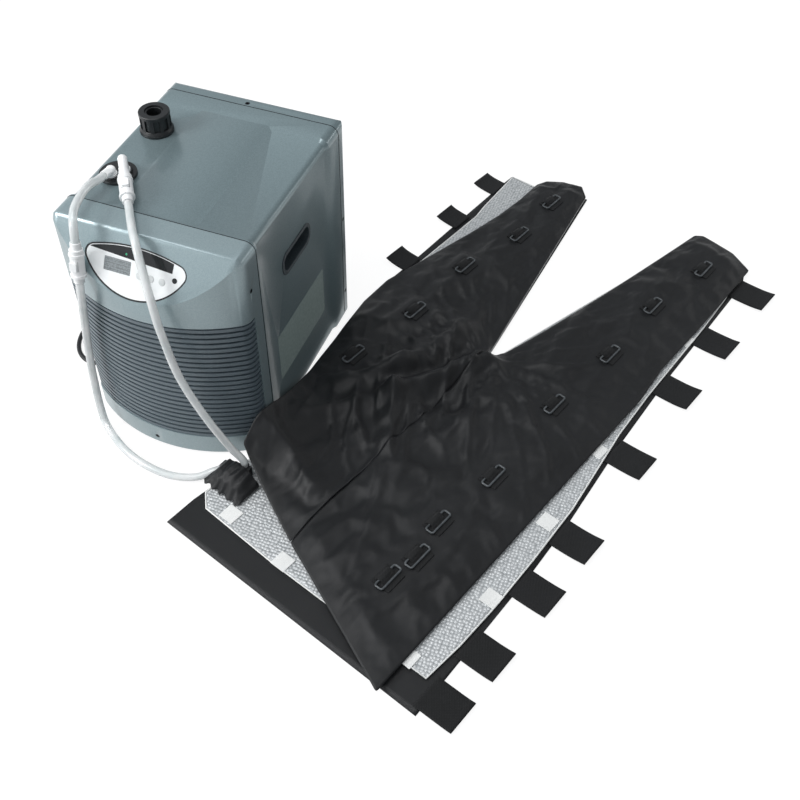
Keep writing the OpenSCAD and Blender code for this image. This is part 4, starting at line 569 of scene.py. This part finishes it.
# Tabs: doubled webbing, a little bent and lifted by its stiffness.
tabs = bmesh.new()
for number, (v, p, reach, curl) in enumerate((
        (25, 272, 60, 5), (110, 271, 60, 7), (226, 269.5, 60, 6), (326, 265, 60, 8), (497, 247, 60, 6),
        (658, 232, 60, 8), (791, 227, 60, 7), (931, 219, 60, 6), (623, -233, 44, 9), (768, -237, 44, 10),
        (890, -245, 44, 8))):
    side = 1 if p > 0 else -1
    for vert in bmesh.ops.create_grid(tabs, x_segments=14, y_segments=10, size=0.5)["verts"]:
        out, along = vert.co.x + 0.5, vert.co.y
        rise = max(0, out - 0.25)
        wave = 1.6 * noise.noise(Vector((out * 1.7, along * 1.3, number * 3.1)))
        vert.co = on_floor(p + side * reach * (out - 0.05 * rise * rise), v + along * (50 if side > 0 else 42),
                           3.6 + rise * (2.0 + wave) + curl * rise ** 3)
bmesh.ops.recalc_face_normals(tabs, faces=tabs.faces)
shown("closing_tabs", tabs, cloths["black_polyester_webbing"], ["side_tabs"], thick=0.0016)

# ---------- trousers: front ----------
# The front is cut from the same nylon and lies loosely over the lining, gathered at the crotch and
# leaning against the machine's corner. Long folds run from the crotch, and fine ones cross them.
waist_mid, waist_rise, waist_fall, crotch_v, front_z, edge_t, crown_h = 72, 62, 90, 510, 6.1, 4, 10
left_hem = ((0, 966), (0.2, 986), (0.6, 975), (0.9, 957), (1, 939))
right_hem = ((0, 1000), (0.1, 1008), (0.65, 998), (1, 978))
left_edge = ((134, -146), (172, -142), (224, -159), (286, -181), (354, -201), (434, -221), (495, -234),
             (560, -238), (640, -224), (745, -206), (820, -196), (880, -193), (965, -196))
right_edge = ((0, 229), (600, 229), (680, 221), (820, 221), (980, 217))
crest = ((134, 40), (158, 72), (172, 80), (194, 68), (224, 50), (254, 33), (286, 18), (320, 8), (360, 3),
         (400, 0))
folds = (((7, 508), (-55, 360), 15, 16), ((-55, 360), (-120, 250), 20, 8), ((-57, 540), (-82, 404), 22, 14),
         ((-82, 404), (-123, 330), 20, 10), ((-150, 185), (-30, 150), 16, 8), ((-60, 355), (-4, 278), 13, 8),
         ((-4, 278), (60, 160), 15, 5), ((-18, 375), (50, 420), 16, -5), ((-160, 480), (-90, 560), 18, 7),
         ((-150, 600), (-110, 690), 18, 5), ((80, 560), (60, 700), 22, 4), ((150, 700), (120, 860), 22, 3))
seam = (((-64, 359), (-4, 278)), ((-4, 278), (55, 167)), ((55, 167), (100, 71)), ((100, 71), (129, 9)))


def look(x, table):
    """The value between a table's two nearest entries."""
    for (a, b), (c, d) in zip(table, table[1:]):
        if x <= c:
            return b + (d - b) * max(0, x - a) / (c - a)
    return table[-1][1]


def clamp(x):
    return min(1, max(0, x))


def edges(v, left):
    """How far across the inner and the outer edge of a leg lie."""
    down = max(0, v - crotch_v)
    return (-105 * down / 455 if left else 100 * (down / 490) ** 0.8), look(v, left_edge if left else right_edge)


def ends(t, left):
    """Where the waist and the hem lie, at a share t of a leg's width."""
    return (waist_mid + (waist_rise if left else -waist_fall) * t), look(t, left_hem if left else right_hem)


def off_line(p, v, a, b):
    """Distance from a line between two points."""
    d = Vector(b) - Vector(a)
    q = Vector((p, v)) - Vector(a)
    return (q - clamp(q.dot(d) / d.dot(d)) * d).length


# Where each strap lies on the cloth, and how high: across, down and the height under it.
strap_spots = []
islands = bmesh.new()
islands.from_mesh(frame["nodes"]["ring_straps"].data)
bmesh.ops.remove_doubles(islands, verts=islands.verts, dist=0.00002)
waiting = set(islands.verts)
while waiting:
    group, edge_of_group = set(), [min(waiting, key=lambda v: v.index)]
    while edge_of_group:
        vert = edge_of_group.pop()
        if vert not in group:
            group.add(vert)
            edge_of_group += [e.other_vert(vert) for e in vert.link_edges]
    waiting -= group
    middle = sum((v.co for v in group), Vector()) / len(group) * 1000 - Vector((216, -374, 0))
    strap_spots.append((middle.x * math.cos(garment_turn) + middle.y * math.sin(garment_turn),
                        middle.y * math.cos(garment_turn) - middle.x * math.sin(garment_turn),
                        min(v.co.z for v in group) * 1000))
islands.free()
strap_spots.sort()


def near_strap(p, v):
    """How close a spot is to a strap, from 0 to 1, and the height that the cloth has there."""
    half_across, half_down, rim = 15, 17, 1.2
    off, z = min((max(abs(p - a) / half_across, abs(v - b) / half_down), z) for a, b, z in strap_spots)
    return 1 - clamp((off - rim) / rim), z


def cloth_height(p, v, left):
    """Height of the front cloth over the floor, in millimetres."""
    inner, outer = edges(v, left)
    t = clamp((p - inner) / (outer - inner))
    waist, hem = ends(t, left)
    legs = clamp((v - crotch_v) / 40)
    open_ends = clamp((v - waist) / 36) * clamp((hem - v) / 30)
    crown = (1 - t ** 6) * (1 - legs * (1 - t) ** 6) * (0.2 + 0.8 * open_ends)
    lean = look(v, crest) * math.exp((outer - p) / 45) if left else 0
    ridge = 1.5 * sum(h * math.exp(-(off_line(p, v, a, b) / w) ** 2) for a, b, w, h in folds)
    sewn = min(off_line(p, v, a, b) for a, b in seam)
    near = math.exp(-(((p + 40) / 110) ** 2 + ((v - 400) / 170) ** 2))
    fan, reach = math.atan2(v - 508, p - 7), math.hypot(v - 508, p - 7)
    drawn = 1 - 2 * abs(noise.noise(Vector((fan * 4.5, reach / 160, 3.0))))
    crossing = 1 - 2 * abs(noise.noise(Vector(((p + 0.7 * v) / 42, (v - 0.7 * p) / 120, 11.0))))
    fine = (noise.noise(Vector((p / 26, v / 110, 2.0))) * 4.5 + noise.noise(Vector((p / 12, v / 38, 7.0))) * 1.8
            + 15 * max(0, drawn) ** 5 * math.exp(-reach / 150) * clamp(reach / 40)
            + 13 * max(0, crossing) ** 5 * near)
    free = front_z + edge_t + crown * (crown_h + ridge + fine - 2.2 * math.exp(-(sewn / 4) ** 2)) + lean
    close, strap_z = near_strap(p, v)
    return free + (strap_z - 0.15 - free) * close * close * (3 - 2 * close)


front = bmesh.new()
for left in (True, False):
    for vert in bmesh.ops.create_grid(front, x_segments=40, y_segments=140, size=0.5)["verts"]:
        t = vert.co.x + 0.5
        waist, hem = ends(t, left)
        v = waist + (hem - waist) * (vert.co.y + 0.5)
        inner, outer = edges(v, left)
        p = inner + (outer - inner) * t
        vert.co = (p, v, cloth_height(p, v, left))
bmesh.ops.remove_doubles(front, verts=front.verts, dist=0.05)
bmesh.ops.recalc_face_normals(front, faces=front.faces)
still, drawn_in = [], []
for vert in front.verts:
    p, v, _ = vert.co
    border = vert.is_boundary or any(e.other_vert(vert).is_boundary for e in vert.link_edges)
    still.append(1.0 if border or near_strap(p, v)[0] > 0.35 else 0.0)
    drawn_in.append(clamp(math.exp(-(((p + 60) / 130) ** 2 + ((v - 420) / 230) ** 2)) + (0.25 if p < 0 else 0.1)))
    vert.co = on_floor(*vert.co)
trousers_front, front_area = shown("trousers_front", front, cloths["coated_black_nylon"],
                                   ["front_panel_right", "front_panel_left"])
for face in trousers_front.data.polygons:
    face.use_smooth = True

# The cloth is a little larger than its sewn outline, so it buckles into small creases of its own. They are
# found by a short cloth run, pinned at the seams and straps, that may move it 9 mm at most and never into
# the lining under it.
furthest, least_height, moments = 0.009, 0.0085, 24
for name, weights in (("pinned", still), ("loose", drawn_in)):
    group = trousers_front.vertex_groups.new(name=name)
    for index, weight in enumerate(weights):
        group.add([index], weight, "REPLACE")
settling = trousers_front.modifiers.new("settling", "CLOTH")
settling.settings.quality, settling.settings.mass = 5, 0.2
settling.settings.tension_stiffness = settling.settings.compression_stiffness = 12
settling.settings.shear_stiffness, settling.settings.bending_stiffness = 4, 0.02
settling.settings.vertex_group_mass, settling.settings.vertex_group_shrink = "pinned", "loose"
settling.settings.shrink_min, settling.settings.shrink_max = -0.02, -0.09
settling.settings.effector_weights.gravity = 0
settling.collision_settings.use_collision = settling.collision_settings.use_self_collision = False
for moment in range(1, moments + 1):
    bpy.context.scene.frame_set(moment)
moved = trousers_front.evaluated_get(bpy.context.evaluated_depsgraph_get()).data
spots = [vert.co.copy() for vert in moved.vertices]
trousers_front.modifiers.remove(settling)
bpy.context.scene.frame_set(1)
for vert, spot in zip(trousers_front.data.vertices, spots):
    shift = spot - vert.co
    shift *= min(1, furthest / max(shift.length, 1e-9))
    shift.z = max(shift.z, min(0, least_height - vert.co.z))
    vert.co += shift
trousers_front.data.update()
finer = trousers_front.modifiers.new("finer", "SUBSURF")
finer.levels = finer.render_levels = 1
doubled = trousers_front.modifiers.new("thickness", "SOLIDIFY")
doubled.thickness, doubled.offset = 0.0012, -1

# Straps and rings: each ring is a long loop of 3 mm nylon rod, held by a square of webbing sewn to the
# cloth, and a narrow band of the same webbing goes over the ring's inner side.
# Polyamide rod, drawn and bent: dark grey, with a soft shine that wear makes uneven.
ring_nylon, tree, place = finish("dark_grey_polyamide_rod", "#4a4e51", 0.3)
wear = add(tree, "ShaderNodeTexNoise", {"Scale": 200.0, "Detail": 3.0}, {"Vector": (place, "Object")})
add(tree, "ShaderNodeValToRGB", {"stops": ((0.3, "#3c4043"), (0.7, "#585c5f"))}, {"Fac": (wear, "Fac")},
    "Base Color")
add(tree, "ShaderNodeMapRange", {"To Min": 0.24, "To Max": 0.4}, {"Value": (wear, "Fac")}, "Roughness")
moulded("ring_straps", 0.5, cloths["black_polyester_webbing"])
bands = bmesh.new()
for number, (p, v, z) in enumerate(strap_spots):
    corner = [(6 - 3 * (1 - math.cos(a)), 20.5 - 3 * (1 - math.sin(a))) for a in (0, 0.52, 1.05, 1.57)]
    loop = [(sp * x, sv * y) for sp, sv, way in ((1, 1, 1), (-1, 1, -1), (-1, -1, 1), (1, -1, -1))
            for x, y in corner[::way]]
    run_of("strap_ring_%02d" % number, [on_floor(p + x, v + y, z + 3.1) for x, y in loop], 0.0015, ring_nylon,
           ["strap_rings"], closed=True, fine=4)
    for vert in bmesh.ops.create_grid(bands, x_segments=12, y_segments=2, size=0.5)["verts"]:
        across = vert.co.x * 15
        over = 4.9 - 2.7 * clamp((abs(across) - 2.2) / 3.5) ** 1.4
        vert.co = on_floor(p - 6 + across, v + vert.co.y * 24, z + over)
bmesh.ops.recalc_face_normals(bands, faces=bands.faces)
shown("strap_bands", bands, cloths["black_polyester_webbing"], thick=0.001)

# ---------- waist flap ----------
# Where the hoses enter, the waist of the front is gathered into a loose mouth round the port: a double
# flap of the same nylon that rises over the block in five pleats.
flap_line = ((70, 7.5), (76, 15), (82, 24), (92, 29.5), (102, 31), (113, 31))
flap = bmesh.new()
for vert in bmesh.ops.create_grid(flap, x_segments=56, y_segments=24, size=0.5)["verts"]:
    across, along = vert.co.x + 0.5, vert.co.y + 0.5
    at = along * (len(flap_line) - 1)
    part = min(int(at), len(flap_line) - 2)
    (v1, z1), (v2, z2) = flap_line[part:part + 2]
    pleat = math.cos(across * math.tau * 5 + 2.2 * noise.noise(Vector((across * 3, along * 2, 5.0))))
    bowed = math.sin(math.pi * across) ** 0.6
    vert.co = on_floor(-168 + 70 * across, v1 + (v2 - v1) * (at - part) + 2.2 * pleat * (1 - along),
                       7.5 + (z1 + (z2 - z1) * (at - part) - 7.5) * bowed + 1.7 * pleat * (0.35 + 0.65 * along) + 1.7)
bmesh.ops.recalc_face_normals(flap, faces=flap.faces)
waist_flap, flap_area = shown("waist_flap", flap, cloths["coated_black_nylon"], thick=0.0012, rounds=1)

# ---------- floor and studio light ----------
# A plain pale floor under soft daylight boxes. The background is white through the camera ray, so no
# light is spent on it, and the floor keeps the shadows.
bpy.ops.mesh.primitive_plane_add(size=16, location=(0, 0, -0.0004))
floor = bpy.context.object
floor.name = "floor"
paper, tree, place = finish("pale_paper", "#a0a0a0", 0.9)
rays = add(tree, "ShaderNodeLightPath", {})
glow = add(tree, "ShaderNodeEmission", {"Color": (1, 1, 1, 1), "Strength": 1.7})
seen = add(tree, "ShaderNodeMath", {"operation": "MAXIMUM"}, {0: (rays, "Is Camera Ray"), 1: (rays, "Is Glossy Ray")})
amount = add(tree, "ShaderNodeMath", {"operation": "MULTIPLY", 1: 0.52}, {0: (seen, "Value")})
both = add(tree, "ShaderNodeMixShader", {}, {0: (amount, "Value"), 1: (tree.nodes["Principled BSDF"], "BSDF"),
                                             2: (glow, "Emission")})
tree.links.new(both.outputs["Shader"], tree.nodes["Material Output"].inputs["Surface"])
floor.data.materials.append(paper)

world = bpy.data.worlds.new("studio")
bpy.context.scene.world = world
world.use_nodes = True
tree = world.node_tree
tree.nodes.clear()
rays = add(tree, "ShaderNodeLightPath", {})
direct = add(tree, "ShaderNodeMath", {"operation": "MAXIMUM"},
             {0: (rays, "Is Camera Ray"), 1: (rays, "Is Transmission Ray")})
around = add(tree, "ShaderNodeTexCoord", {})
leftward = add(tree, "ShaderNodeVectorMath", {"operation": "DOT_PRODUCT", 1: (-0.7, -0.5, 0.5)},
               {0: (around, "Generated")})
level = add(tree, "ShaderNodeMapRange", {"From Min": -1.0, "From Max": 1.0, "To Min": 0.05, "To Max": 0.78},
            {"Value": (leftward, "Value")})
room = add(tree, "ShaderNodeBackground", {"Color": (0.92, 0.96, 1, 1)}, {"Strength": (level, "Result")})
white = add(tree, "ShaderNodeBackground", {"Color": (1, 1, 1, 1), "Strength": 1.0})
both = add(tree, "ShaderNodeMixShader", {}, {0: (direct, "Value"), 1: (room, "Background"), 2: (white, "Background")})
add(tree, "ShaderNodeOutputWorld", {}, {"Surface": (both, "Shader")})

for name, spot, aim, wide, high, watts in (
        ("key_box", (-1.9, -1.5, 1.55), (0.1, -0.1, 0.1), 0.9, 0.9, 42),
        ("top_box", (-0.3, -0.5, 2.8), (0.0, 0.0, 0.2), 1.3, 1.3, 27),
        ("edge_strip", (1.75, 1.4, 0.75), (0.1, 0.0, 0.3), 1.6, 0.12, 4)):
    light = bpy.data.lights.new(name, "AREA")
    light.shape, light.size, light.size_y, light.energy = "RECTANGLE", wide, high, watts
    holder = bpy.data.objects.new(name, light)
    holder.location = spot
    holder.rotation_euler = (Vector(aim) - Vector(spot)).to_track_quat("-Z", "Y").to_euler()
    bpy.context.collection.objects.link(holder)
bpy.context.scene.view_settings.view_transform = "Standard"
